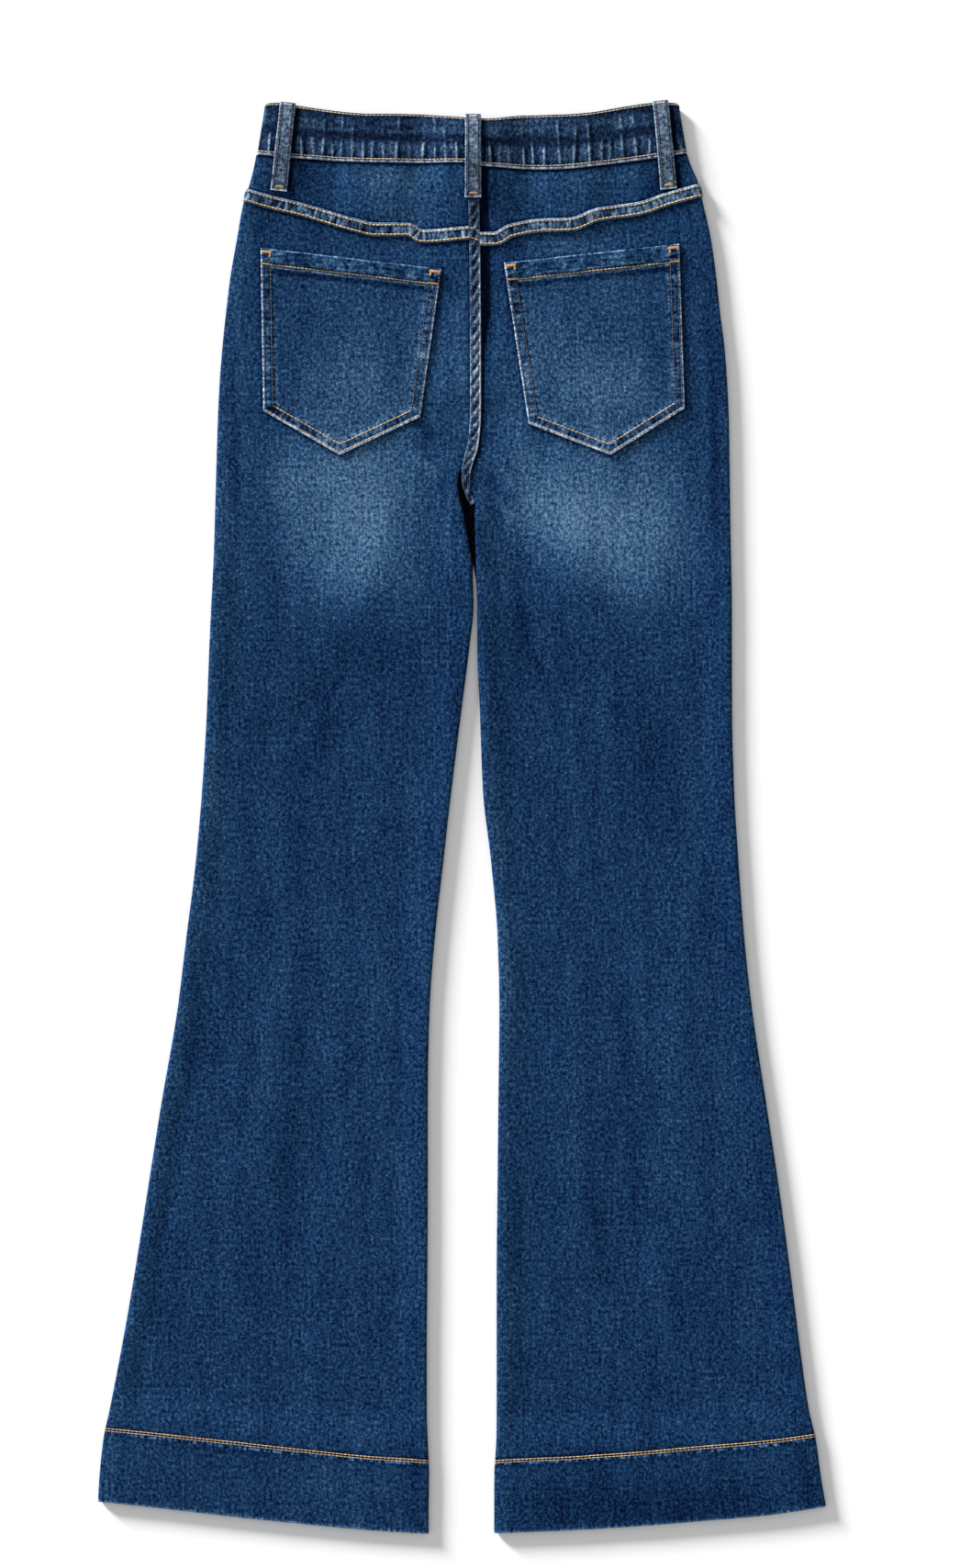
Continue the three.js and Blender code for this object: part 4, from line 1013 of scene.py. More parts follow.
def band_streaks(along, up):
    """Light pucker lines across the band: strong above the lower row, fainter marks higher up."""
    random = np.random.RandomState(31)
    total = np.zeros_like(along)
    place = 2.0
    while place < 345:
        place += random.uniform(6.5, 12.5)
        width, lean = random.uniform(0.7, 1.1), random.uniform(-4, 4)
        strong = random.uniform(0.35, 1.0)
        low_part = strong * plateau(up - 0.2, 0.13, random.uniform(0.1, 0.2))
        high_part = random.uniform(-0.1, 0.55) * plateau(up - random.uniform(0.62, 0.8), 0.06, 0.12)
        through = max(0, random.uniform(-1.2, 0.5)) * plateau(up - 0.5, 0.3, 0.16)
        line = bells(along - place - lean * (up - 0.3), (0, width, 1), (2.6, 1.6, -0.45))
        total += (low_part + high_part + through) * line
    return np.clip(total, -0.5, 1.1)


def band_groove(up):
    """The sunk lines of the band's two sewn rows."""
    return sum(bell((up - place) * BAND_HEIGHT, 1.2) for place in BAND_ROWS.values())


def band_parts():
    """The band's parts from lap to lap: places along it, or turns round its sides, in columns."""
    left_end = (CENTRE_FRONT_X + BAND_LAP - BAND_LEFT_X) / BAND_SPAN
    right_end = (CENTRE_FRONT_X - BAND_TUCK - BAND_LEFT_X) / BAND_SPAN
    turns = np.radians(np.linspace(-78, 78, 12))
    near, far = 0.012, 0.988
    parts = [
        ("front_left", np.linspace(left_end, near, 90)),
        ("left", turns),
        ("back", np.linspace(near, far, 520)),
        ("right", turns[::-1]),
        ("front_right", np.linspace(far, right_end, 84)),
    ]
    return [(name, values[:, None]) for name, values in parts]


def band_shell(name, values, up):
    """Outer and inner points of one part of the band."""
    side = {"left": -1, "right": 1}.get(name)
    place = values if side is None else (side + 1) / 2
    low_x = BAND_LEFT_X + BAND_SPAN * place + 0 * values
    high_x = mix(BAND_MIDDLE_X, low_x, (BAND_TOP_RIGHT_X - BAND_TOP_LEFT_X) / BAND_SPAN)
    x = mix(low_x, high_x, up)
    back_y = mix(band_lower(low_x), band_upper(high_x), up)
    front_y = front_band_lower(low_x) + FRONT_BAND_HEIGHT * up
    drop = round_drop(np.minimum(up, 1 - up) * BAND_HEIGHT, 1.1)
    if side:
        y = mix(front_y, back_y, (np.sin(values) + 1) / 2)

        def ring(radius):
            around_x = x - side * BAND_RADIUS + side * radius * np.cos(values)
            return vectors(around_x, y, BAND_RADIUS + radius * np.sin(values))

        return ring(BAND_RADIUS - drop), ring(BAND_RADIUS - BAND_CLOTH)
    if name == "back":
        pucker = 0.4 * band_streaks(x - BAND_LEFT_X, up + 0 * x)
        wave = 0.25 * soft_noise(x, 0 * x, 22, 40, 41) * np.sin(math.pi * up)
        flat = 2 * BAND_RADIUS + lift(x, back_y - FRONT_DROP / 2) + lap_room(x, back_y)
        top = flat + wave + pucker - drop - 0.25 * band_groove(up)
        return vectors(x, back_y, top), vectors(x, back_y, flat - BAND_CLOTH)
    tucked = 0
    if name == "front_right":
        tucked = BAND_LAYER * (1 - ease((x - (CENTRE_FRONT_X + BAND_LAP + 1.5)) / 18))
    z = lift(x, front_y) + tucked
    return vectors(x, front_y, z + drop + 0.8 * band_groove(up)), vectors(x, front_y, z + BAND_CLOTH)


def waistband():
    up = np.concatenate([[0, 0.004, 0.012, 0.028, 0.045], np.linspace(0.066, 0.934, 22),
                         [0.955, 0.972, 0.988, 0.996, 1]])
    parts = band_parts()
    shells = [band_shell(name, values, up) for name, values in parts]
    outer, inner = (np.concatenate(layers) for layers in zip(*shells))
    on_back = np.concatenate([np.full(values.shape, name == "back") for name, values in parts])
    # The hidden parts of the band all take the marks of one place outside its back.
    along = np.where(on_back, outer[..., 0] - BAND_LEFT_X, -40)
    length = running_length(outer[:, 10])[:, None]
    up_grid = np.broadcast_to(up, along.shape)
    height = up_grid * BAND_HEIGHT
    wobble = soft_noise(along, height, 9, 30, 42)
    patches = soft_noise(along, 0 * along, 7, 30, 43)
    wear = 0.85 * plateau(height - 0.5, 0.6, 0.9) * (0.85 + 0.25 * wobble)
    wear = wear + 0.12 * bell(BAND_HEIGHT - height, 0.7)
    lines = soft_noise(along, height, 26, 2.6, 44) * plateau(up_grid - 0.72, 0.2, 0.08)
    creases = bells(height, (12.4 + 0.8 * wobble, 0.7, 0.1), (25 + 1.2 * wobble, 0.8, 0.07))
    back_fade_and_shade = 0.46 * band_streaks(along, up_grid) + 0.09 * lines
    # Painted shade in the gaps beside the loops.
    back_fade_and_shade = back_fade_and_shade + painted_loop_shade(outer[..., 0], outer[..., 1])
    back_fade_and_shade = back_fade_and_shade + 0.08 * plateau(up_grid - 0.24, 0.14, 0.06) * (1 + 0.7 * patches)
    back_fade_and_shade = back_fade_and_shade + creases * np.clip(0.55 + 0.9 * patches, 0, 1.2)
    # Painted shade in the sunk lines of the band's two rows.
    fade_and_shade = back_fade_and_shade * on_back - 0.12 * band_groove(up) - 0.05 * bell(height - 4.6, 1.2)
    fade_and_shade = fade_and_shade + 0.045 * plateau(up_grid - 0.74, 0.1, 0.08) * (1 + 1.5 * wobble)
    fade_and_shade = fade_and_shade - 0.03 * plateau(up_grid - 0.5, 0.06, 0.08)
    marks = 0.02 + 0.04 * plateau(up_grid - 0.22, 0.16, 0.1)
    attributes = {"fade_and_shade": fade_and_shade, "wear": wear, "weave": vectors(length, height, 0),
                  "seam": vectors(length, height, marks)}
    rows = np.arange(len(outer))
    cloth = Cloth("cloth_waistband", outer, inner, attributes, [BAND_DENIM], True, rows, up)
    dress(cloth, ["waistband"])
    return cloth


BAND = waistband()


# Strips: seam ridges and belt loops

def spline(points, step):
    """Evenly spaced points of a smooth curve through the given ones, and how far along it they lie."""
    points = np.array(points, float)
    chord = running_length(points)
    fine = np.linspace(0, chord[-1], 400)
    curve = vectors(*[smooth_line(vectors(chord, column))(fine) for column in points.T])
    length = running_length(curve)
    even = np.linspace(0, length[-1], max(3, int(length[-1] / step)))
    return vectors(*[np.interp(even, length, column) for column in curve.T]), even


def strip(name, path, width, point_at, thickness, material, finish, edge=0.8, sides=15, facing=1):
    """A strip of cloth along a path, rounded at its long edges.

    point_at gives the points that lie some distance above the strip's under face, and finish the
    fade, wear, pucker height and seam marks by place along and across it."""
    centre, length = spline(path, STRIP_STEP)
    tangent = np.gradient(centre, axis=0)
    tangent /= np.linalg.norm(tangent, axis=1)[:, None]
    share = (length / length[-1])[:, None]
    # Places across the strip, closer at its two edges.
    places = np.sin(np.linspace(-1, 1, sides) * math.pi / 2)[None, :]
    half = np.broadcast_to(width(share) / 2, (len(length), 1))
    across = places * half
    x, y = centre[:, :1] - tangent[:, 1:] * across, centre[:, 1:] + tangent[:, :1] * across
    from_edge = half * (1 - np.abs(places))
    along = length[:, None] + 0 * x
    fade_and_shade, wear, pucker, marks = (values + 0 * x for values in finish(along, across, from_edge, share))
    above = thickness - round_drop(from_edge, edge) + pucker * np.minimum(1, from_edge / 1.2)
    attributes = {"fade_and_shade": fade_and_shade, "wear": wear, "weave": vectors(across, along, 0),
                  "seam": vectors(along, across, marks)}
    outer, inner = point_at(x, y, share, facing * above), point_at(x, y, share, 0 * x)
    return Cloth(name, outer, inner, attributes, [material], facing > 0, length, across[0])


def over_side_fold(half, x, y, flat, above):
    """Points above the cloth, which past the start of the side fold go round it."""
    past = FOLD_RADIUS - half.inward * (x - half.side(y))
    arc = math.pi / 2 - np.maximum(0, past) / FOLD_RADIUS
    edge = FOLD_HEIGHT + (RIM["back"] - FOLD_HEIGHT) * (1 - np.sin(arc))
    round_x = half.side(y) + half.inward * (FOLD_RADIUS * (1 - np.cos(arc)) - above * np.cos(arc))
    return vectors(np.where(past > 0, round_x, x), y,
                   np.where(past > 0, edge + above * np.sin(arc), flat + above))


def yoke_ridge(half):
    middle_x = SEAT_RIDGE_PATH[1][0] - half.inward * (SEAT_RIDGE_WIDTH / 2 - 0.3)
    side_x = float(half.side(half.yoke_seam(half.side(505)))) + half.inward * FOLD_RADIUS
    outer_x = side_x - half.inward * YOKE_RIDGE_TURN * FOLD_RADIUS
    xs = np.linspace(*sorted((middle_x, outer_x)), 60)
    seed = 51 if half is LEFT else 57
    edge = YOKE_RIDGE_WIDTH / 2

    def finish(along, across, from_edge, share):
        marks = soft_noise(along, across, 2.3, 16, seed)
        marks = np.clip(marks + 0.8 * soft_noise(along, across, 4.2, 20, seed + 1), -1, 1)
        rough = 0.7 + 0.4 * soft_noise(along, 0 * along, 5, 9, seed + 3)
        # Painted light (lit) on the ridge, and painted shade along its two sunk rows.
        lit = 0.05 * ease((along - 108) / 16) if half is LEFT else 0.07
        fade_and_shade = lit - 0.02 + 0.2 * marks * plateau(across, 3.0, 1.5)
        fade_and_shade = fade_and_shade - bells(across, (1.6 - edge, 1.0, 0.13), (edge - 2.2, 0.8, 0.1))
        wear = rough * bells(across, (edge - 0.6, 0.8, 0.4), (0.4 - edge, 0.6, 0.28))
        return fade_and_shade, wear, 0.42 * marks, 0.2 * plateau(across, 3.4, 1.6)

    def point_at(x, y, share, above):
        return over_side_fold(half, x, y, top_height(x, y) + LAID_ON, above)

    path = vectors(xs, half.yoke_seam(xs))
    cloth = strip(f"cloth_yoke_seam_{half.name}", path, lambda share: YOKE_RIDGE_WIDTH, point_at,
                  SEAM_RIDGE, RIDGE_DENIM, finish, edge=0.75, sides=21)
    dress(cloth, [f"yoke_seam_{half.name}"])
    return cloth


YOKE_RIDGES = {half.name: yoke_ridge(half) for half in HALVES}
BAR_SPACING = 10.7      # of the slanted marks on the seat seam


def seat_ridge():
    edge = SEAT_RIDGE_WIDTH / 2
    foot_height = 3.4

    def width(share):
        return mix(SEAT_RIDGE_WIDTH, SEAT_RIDGE_TAIL_WIDTH, ease((share - 0.8) / 0.2))

    def point_at(x, y, share, above):
        base = mix(top_height(x, y) + LAID_ON, foot_height, ease((share - 0.9) / 0.09))
        return vectors(x, y, base + above)

    def slant(along, across):
        """Slanted bars, uneven in strength."""
        turn = (along + 1.5 * across + 2.2 * soft_noise(along, across, 16, 30, 60)) * math.tau / BAR_SPACING
        return 0.75 * np.sin(turn) + 0.7 * soft_noise(along + 1.4 * across, across, 2.4, 30, 61)

    def finish(along, across, from_edge, share):
        bars = np.clip(slant(along, across), -1, 1)
        fade_and_shade = 0.2 * bars * plateau(across, 2.6, 1.3) + 0.02 + 0.18 * bell(share - 0.62, 0.22)
        # Painted shade along the seam's two sunk rows.
        fade_and_shade = fade_and_shade - bells(across, (1.8 - edge, 0.9, 0.12), (edge - 2.4, 0.8, 0.08))
        bright = 0.25 + 0.6 * ease((along - 34) / 20)
        rough = 0.8 + 0.3 * soft_noise(along, across, 7, 30, 62)
        wear = rough * bells(across, (edge - 0.6, 0.9, bright), (0.3 - edge, 0.5, 0.08))
        return fade_and_shade, wear, 0.45 * bars, 0.1 * plateau(across, 3, 1.4)

    cloth = strip(
        "cloth_seat_seam", SEAT_RIDGE_PATH, width, point_at, SEAM_RIDGE, SEAT_DENIM, finish, sides=19)
    dress(cloth, ["seat_seam"])
    return cloth


SEAT_RIDGE = seat_ridge()


def top_cast(*cloths):
    """A function that gives the height of the highest of these pieces below points."""
    trees = []
    for cloth in cloths:
        mesh = cloth.obj.data
        faces = [polygon.vertices for polygon in mesh.polygons]
        trees.append(BVHTree.FromPolygons([vertex.co for vertex in mesh.vertices], faces))

    def cast(x, y, direction=-1):
        start = 0.1 if direction < 0 else -0.1
        found, normals = [], []
        for px, py in zip(np.ravel(x), np.ravel(y)):
            hits = [t.ray_cast(Vector((px * MM, py * MM, start)), Vector((0, 0, direction))) for t in trees]
            hits = [h for h in hits if h[0] is not None]
            best = max(hits, key=lambda h: -direction * h[0].z) if hits else None
            found.append(best[0].z / MM if best else np.nan)
            normals.append(tuple(best[1]) if best else (0, 0, -direction))
        return np.array(found).reshape(np.shape(x)), np.array(normals).reshape(np.shape(x) + (3,))

    return cast


under_loops = top_cast(BAND, YOKES["left"], YOKES["right"], SEAT_RIDGE, *YOKE_RIDGES.values())


def loop_finish(seed):
    """Dark long edges, a light rub beside them and a worn foot."""
    def finish(along, across, from_edge, share):
        rub = 0.75 + 0.35 * soft_noise(along, across, 6, 9, seed)
        fade_and_shade = 0.04 + bells(np.abs(across), (1.6, 1.4, 0.05), (4.3, 0.9, -0.12))
        fade_and_shade = fade_and_shade + 0.09 * soft_noise(along, across, 1.9, 5, seed + 1)
        wear = 0.17 * bell(from_edge - 0.3, 0.7) * rub + 0.5 * bell(along, 1.2)
        pucker = 0.16 * soft_noise(along, across, 3, 5, seed + 2)
        return fade_and_shade, wear, pucker, 0.09 * plateau(across, 3.6, 1.2)

    return finish


def belt_loop(name, path, width, point_at, seed, sides, facing):
    cloth = strip(f"cloth_belt_loop_{name}", path, width, point_at, LOOP_CLOTH, WORN_DENIM,
                  loop_finish(seed), edge=0.7, sides=sides, facing=facing)
    dress(cloth, [f"belt_loop_{name}"])
    return cloth


def back_loop(place):
    """A loop that arches over the waistband, from its upper edge to below its lower one."""
    top, foot = (np.array(BACK_LOOPS[place][key]) for key in ("top", "foot"))
    steps = np.linspace(0, 1, 60)
    xs, ys = mix(foot[0], top[0], steps), mix(foot[1], top[1], steps)
    limit = band_upper(xs) - 3
    heights = np.array([under_loops(xs + dx, np.minimum(ys, limit))[0] for dx in (-6, -3, 0, 3, 6)])
    clear = np.nanmax(heights, axis=0)
    # The loop bridges the step below the band, so it follows a smoothed upper envelope.
    clear = np.array([np.max(clear[max(0, i - 3):i + 4]) for i in range(len(clear))])
    clear = np.convolve(np.pad(clear, 4, mode="edge"), np.ones(9) / 9, "valid")
    seed = {"left": 71, "centre": 76, "right": 81}[place]

    def point_at(x, y, share, above):
        arch = LOOP_ARCH * np.sin(math.pi * share) ** 0.8
        sag = ease((share - 0.955) / 0.045) * 1.2
        base = np.interp(share, steps, clear) + LAID_ON + arch - sag + 0.15 * soft_noise(x, y, 12, 16, seed)
        return vectors(x, y, base + above)

    def width(share):
        return LOOP_WIDTH * (1 - 0.04 * ease(share) + bells(share, (0.05, 0.05, 0.02), (0.9, 0.05, 0.03)))

    path = [foot, mix(foot, top, 0.5), top]
    return belt_loop(f"back_{place}", path, width, point_at, seed + 3, 17, 1)


LOOPS = {place: back_loop(place) for place in BACK_LOOPS}
LOOP_ROW_PLACE = 4.2


def front_loop(side):
    """A loop that lies flat under the front of the waistband."""
    loop = FRONT_LOOPS[side]

    def point_at(x, y, share, above):
        rows = 0.5 * bell(np.abs(x - loop["x"]) - LOOP_ROW_PLACE, 1.4)
        return vectors(x, y, np.maximum(0, LOOP_CLOTH + above + np.where(above < 0, rows, 0)))

    path = [(loop["x"], y) for y in (loop["foot"], loop["foot"] + 30, loop["top"])]
    return belt_loop(f"front_{side}", path, lambda share: LOOP_WIDTH, point_at, 91, 13, -1)


FRONT_LOOP_CLOTHS = {side: front_loop(side) for side in FRONT_LOOPS}


# Patch pockets

POCKET_ROWS = (1.9, 7.8)
POCKET_SIZE = (147, 150)
EDGE_STEPS = np.array([0, 0.12, 0.35, 0.75, 1.2, 1.8, 2.5, 3.3, 4.3, 5.4, 6.5, 7.2, 7.9, 8.8, 10, 11.4])


def pocket_shares(size, step):
    """Places from one edge to the other, closer near both."""
    inside = np.linspace(13, size - 13, int((size - 26) / step) + 1)
    return np.concatenate([EDGE_STEPS, inside, size - EDGE_STEPS[::-1]]) / size


def back_pocket(side):
    """A pocket with a turned mouth that gapes a little, and puckers along its sewn sides."""
    pocket = BACK_POCKETS[side]
    corners = [np.array(pocket[key]) for key in POCKET_CORNERS]
    top_left, lower_left, tip, lower_right, top_right = corners
    shares, downs = pocket_shares(POCKET_SIZE[0], 2.2), pocket_shares(POCKET_SIZE[1], 1.4)
    s, d = np.meshgrid(shares, downs)
    at, tip_share = s[..., None], pocket["tip_share"]
    foot = np.where(at <= tip_share, mix(lower_left, tip, at / tip_share),
                    mix(tip, lower_right, (at - tip_share) / (1 - tip_share)))
    x, y = np.moveaxis(mix(mix(top_left, top_right, at), foot, d[..., None]), -1, 0)
    seed = 101 if side == "left" else 111
    # The mouth isn't quite straight.
    y = y + 0.9 * soft_noise(x, 0 * x, 18, 40, seed) * (1 - ease(d / 0.25)) * np.sin(math.pi * s)
    distances, alongs = zip(*[segment_distance(x, y, *ends) for ends in pairs(corners)])
    starts = running_length(corners)
    from_sides, nearest = np.min(distances, axis=0), np.argmin(distances, axis=0)
    along_edge = np.choose(nearest, [along + start for along, start in zip(alongs, starts)])
    foot_edge = ((nearest == 1) | (nearest == 2)).astype(float)
    from_mouth = segment_distance(x, y, top_left, top_right)[0]
    from_hem_row = from_mouth - pocket["mouth"]
    turned = 1 - ease((from_hem_row + 0.5) / 1.2)
    single = 1 - turned
    pucker = soft_noise(along_edge, from_sides, 2.6, 40, seed + 1)
    pucker = pucker + 0.6 * soft_noise(along_edge, from_sides, 5, 40, seed + 6)
    pucker = np.clip(pucker, -1, 1) * plateau(from_sides - 4.8, 3.4, 3.2)
    mouth_pucker = np.clip(1.3 * soft_noise(x, from_mouth, 3.4, 30, seed + 5), -1, 1) * turned
    stitched = sum(bell(from_sides - row, 0.8) for row in POCKET_ROWS) * single
    allowance = 0.45 * (1 - ease((from_sides - 8.4) / 1.2)) * single
    gape = POCKET_GAPE * np.sin(math.pi * s) * (1 - ease(d / 0.28))
    gape = gape * (1 + 0.5 * soft_noise(x, y, 20, 60, seed + 2))
    belly = 0.5 * bell(d - 0.55, 0.3) * np.sin(math.pi * s)
    base = top_height(x, y) + LAID_ON + gape
    top = base + mix(POCKET_CLOTH, POCKET_HEM_CLOTH, turned) + allowance + belly
    top = top - round_drop(np.minimum(from_sides, from_mouth), 0.85)
    top = top + 0.34 * pucker * single + 0.28 * mouth_pucker * plateau(from_mouth - 6.5, 4, 3)
    top = top + 0.12 * soft_noise(x, y, 14, 22, seed + 3) - 0.3 * stitched - 0.35 * bell(from_hem_row, 0.9)
    uneven = 0.9 + 0.2 * soft_noise(along_edge, from_sides, 8, 90, seed + 4)
    off_corners = plateau(s - 0.5, 0.42, 0.06)
    wear = mix(0.54 * bell(from_sides - 0.6, 0.95), 0.64 * plateau(from_sides - 1.0, 0.8, 1.0), foot_edge)
    wear = wear + 0.3 * bell(from_mouth - 0.4, 0.8)
    wear = wear + bells(from_hem_row, (1.7, 0.8, 0.54), (-2.0, 0.8, 0.14)) * off_corners
    fade_and_shade = fade_and_shade_at(x, y) + single * (0.03 + 0.13 * pucker * mix(0.8, 1, foot_edge))
    # Painted shade along the sunk rows of the sides and foot.
    fade_and_shade = fade_and_shade - 0.11 * stitched * mix(1, 0.5, foot_edge) + 0.06 * bell(from_sides - 10.4, 1.6)
    fade_and_shade = fade_and_shade + mix(0.05, -0.06, foot_edge) * bell(from_sides - 5, 1.8) * single
    # Painted shade along the sunk mouth row, and a painted shadow below the mouth hem.
    fade_and_shade = fade_and_shade - 0.12 * bell(from_hem_row, 0.9)
    fade_and_shade = fade_and_shade - 0.13 * plateau(from_hem_row - 4.8, 1.3, 1.8) * off_corners
    fade_and_shade = fade_and_shade + turned * (0.1 * mouth_pucker + 0.025) * plateau(from_mouth - 6, 4, 3)
    marks = 0.14 * plateau(from_sides - 5.4, 4.8, 2.4) + 0.1 * turned
    attributes = {"fade_and_shade": fade_and_shade, "wear": wear * uneven, "weave": vectors(x, y, 0),
                  "seam": vectors(along_edge, from_sides, marks)}
    cloth = Cloth(f"cloth_back_pocket_{side}", vectors(x, y, top), vectors(x, y, base), attributes,
                  [POCKET_DENIM], True, downs, shares)
    dress(cloth, [f"back_pocket_{side}"])
    return cloth


POCKETS = {side: back_pocket(side) for side in BACK_POCKETS}


# Stitching

STITCH_SIDES = 6
THREAD_FLATTENING = 0.7


def stitch_template():
    """One stitch along X with its back to Z: rings of points, then its two ends."""
    rings = [(-0.92, 0.75, -0.42), (-0.6, 0.96, -0.04), (0, 1, 0.1), (0.6, 0.96, -0.04),
             (0.92, 0.75, -0.42)]
    turns = [k * math.tau / STITCH_SIDES for k in range(STITCH_SIDES)]
    points = [(t, r * math.cos(turn), r * math.sin(turn) + h, turn) for t, r, h in rings for turn in turns]
    first, last = len(points), len(points) + 1
    points += [(-1, 0, -0.9, 0), (1, 0, -0.9, 0)]
    around = [(k, (k + 1) % STITCH_SIDES) for k in range(STITCH_SIDES)]
    starts = [ring * STITCH_SIDES for ring in range(len(rings))]
    faces = [(a + k, b + k, b + after, a + after) for a, b in pairs(starts) for k, after in around]
    for k, after in around:
        faces += [(first, k, after), (last, starts[-1] + after, starts[-1] + k)]
    return np.array(points), faces


TEMPLATE_POINTS, TEMPLATE_FACES = stitch_template()


class Stitches:
    """Collects stitches of one thread and makes them one mesh."""

    def __init__(self, name, material, slot):
        self.name, self.material, self.slot = name, material, slot
        self.places = []

    def row(self, points, normals, radius, pitch=STITCH_PITCH, length=STITCH_LENGTH, turn=0.0):
        """Evenly spaced stitches along a line of points, turned by an angle out of the line."""
        keep = ~np.isnan(points).any(axis=1)
        points, normals = points[keep], normals[keep]
        distance = running_length(points)
        count = max(1, int(distance[-1] / pitch))
        at = (np.arange(count) + 0.5) * distance[-1] / count
        reach = min(length / 2, distance[-1] / 2)

        def along(values, d):
            return np.stack([np.interp(d, distance, values[:, k]) for k in range(3)], 1)

        centre, normal = along(points, at), along(normals, at)
        direction = along(points, at + reach) - along(points, at - reach)
        direction /= np.maximum(np.linalg.norm(direction, axis=1), 1e-9)[:, None]
        normal -= direction * np.sum(normal * direction, axis=1)[:, None]
        normal /= np.maximum(np.linalg.norm(normal, axis=1), 1e-9)[:, None]
        side = np.cross(normal, direction)
        if turn:
            direction = math.cos(turn) * direction + math.sin(turn) * side
            side = np.cross(normal, direction)
        self.places.append((centre, direction, side, normal, length / 2, radius))

    def build(self):
        points, faces, reaches, turns, tones, start = [], [], [], [], [], 0
        size = len(TEMPLATE_POINTS)
        local = TEMPLATE_POINTS[None, :, :]
        jitter = np.random.RandomState(len(self.name))
        for centre, direction, side, normal, half, radius in self.places:
            count = len(centre)
            scale = 1 + jitter.uniform(-0.1, 0.1, (count, 1, 1))
            lean = jitter.normal(0, 0.05, (count, 1, 1))
            tone = 0.6 * jitter.uniform(0, 1, count) + 0.2
            tone = tone + 0.2 * soft_noise(np.arange(count), 0, 6, 9, count % 89)
            sideways = local[..., 1:2] * radius + local[..., 0:1] * half * lean
            raised = local[..., 2:3] * radius * THREAD_FLATTENING + 0.1
            block = (centre[:, None] + direction[:, None] * local[..., 0:1] * half * scale
                     + side[:, None] * sideways + normal[:, None] * raised)
            block[..., 2] = np.maximum(block[..., 2], 0)
            points.append(block.reshape(-1, 3))
            reaches.append(np.tile(TEMPLATE_POINTS[:, 0], count))
            turns.append(np.tile(TEMPLATE_POINTS[:, 3], count))
            tones.append(np.repeat(tone, size))
            for first in range(start, start + count * size, size):
                faces.extend([tuple(first + i for i in face) for face in TEMPLATE_FACES])
            start += count * size
        attributes = {"reach": reaches, "turn": turns, "tone": tones}
        attributes = {key: np.concatenate(values) for key, values in attributes.items()}
        points = np.concatenate(points)
        obj = new_object(self.name, points, faces, attributes, [self.material], smooth_angle=80)
        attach(obj, "root")


gold = Stitches("stitches_gold", GOLD_THREAD, "denim")
tan = Stitches("stitches_tan", TAN_THREAD, "denim")
dull = Stitches("stitches_dull", DULL_THREAD, "pocket_denim")
bartacks = Stitches("bartacks", BARTACK_THREAD, "denim")
BAR = {"pitch": 0.62, "turn": math.pi / 2}      # the close thread of a bartack lies across its line


def inset_line(corners, distance):
    """A line of corners moved to its left by a distance, mitred at the corners."""
    p = np.array(corners, float)
    edges = np.diff(p, axis=0)
    edges /= np.linalg.norm(edges, axis=1)[:, None]
    left = np.stack([-edges[:, 1], edges[:, 0]], 1)
    moved = [p[0] + left[0] * distance]
    for k in range(1, len(p) - 1):
        mitre = left[k - 1] + left[k]
        moved.append(p[k] + mitre * distance / np.dot(mitre, left[k]))
    moved.append(p[-1] + left[-1] * distance)
    return np.array(moved)


def dense(corners, step=0.8):
    """Close points along the straight runs between corners."""
    runs = []
    for a, b in pairs(np.array(corners, float)):
        runs.append(np.linspace(a, b, max(2, int(np.linalg.norm(b - a) / step))))
    return np.concatenate(runs)


def laid_row(stitches, cast, line, radius, direction=-1, **options):
    """A row on the pieces that a cast meets."""
    z, normals = cast(line[:, 0], line[:, 1], direction)
    stitches.row(np.column_stack([line, z]), np.nan_to_num(normals), radius, **options)


def band_stitches():
    """A row at the band's upper edge and one at its lower edge, all the way round."""
    places = np.linspace(0, BAND.row_places[-1], 1800)
    for place in BAND_ROWS.values():
        tan.row(*BAND.points(places, place), THREAD_RADII["band"])


def seam_stitches():
    """Two rows on each yoke seam and on the seat seam, which the left yoke's rows cross."""
    for ridge in YOKE_RIDGES.values():
        for stitches, place in ((gold, 1.6 - YOKE_RIDGE_WIDTH / 2), (tan, YOKE_RIDGE_WIDTH / 2 - 2.0)):
            stitches.row(*ridge.points(ridge.row_places, place), THREAD_RADII["yoke_seam"])
    for place in (1.7 - SEAT_RIDGE_WIDTH / 2, SEAT_RIDGE_WIDTH / 2 - 2.3):
        dull.row(*SEAT_RIDGE.points(SEAT_RIDGE.row_places, place), THREAD_RADII["seat_seam"])
    cast = top_cast(SEAT_RIDGE)
    laid_row(tan, cast, dense([(6, 479), (10.5, 477.4), (14.3, 475)]), THREAD_RADII["crossing"])
    laid_row(gold, cast, dense([(6, 470.8), (10.5, 469.8), (14.3, 468)]), THREAD_RADII["crossing"])


def hem_stitches():
    """Two close rows round each leg, on the back and the front."""
    for cloth in (*BACK.values(), *FRONT.values()):
        places = np.linspace(cloth.column_places[0], cloth.column_places[-1], 600)
        gold.row(*cloth.points(HEM_DEPTH, places), THREAD_RADII["hem_gold"])
        tan.row(*cloth.points(HEM_DEPTH - HEM_ROW_GAP, places), THREAD_RADII["hem_tan"])


def loop_stitches():
    """Two rows on each belt loop, and a bartack near each end."""
    for cloth in (*LOOPS.values(), *FRONT_LOOP_CLOTHS.values()):
        top = cloth.row_places[-1]
        inside = np.linspace(3.5, top - 3, 90)
        for place in (-LOOP_ROW_PLACE, LOOP_ROW_PLACE):
            dull.row(*cloth.points(inside, place), THREAD_RADII["loop"])
        across = np.linspace(-3.6, 3.0, 24)
        bartacks.row(*cloth.points(3.2, across), THREAD_RADII["loop_bar"], length=1.7, **BAR)
        tan.row(*cloth.points(top - 1.8, across), THREAD_RADII["loop_bar"], length=1.8, **BAR)


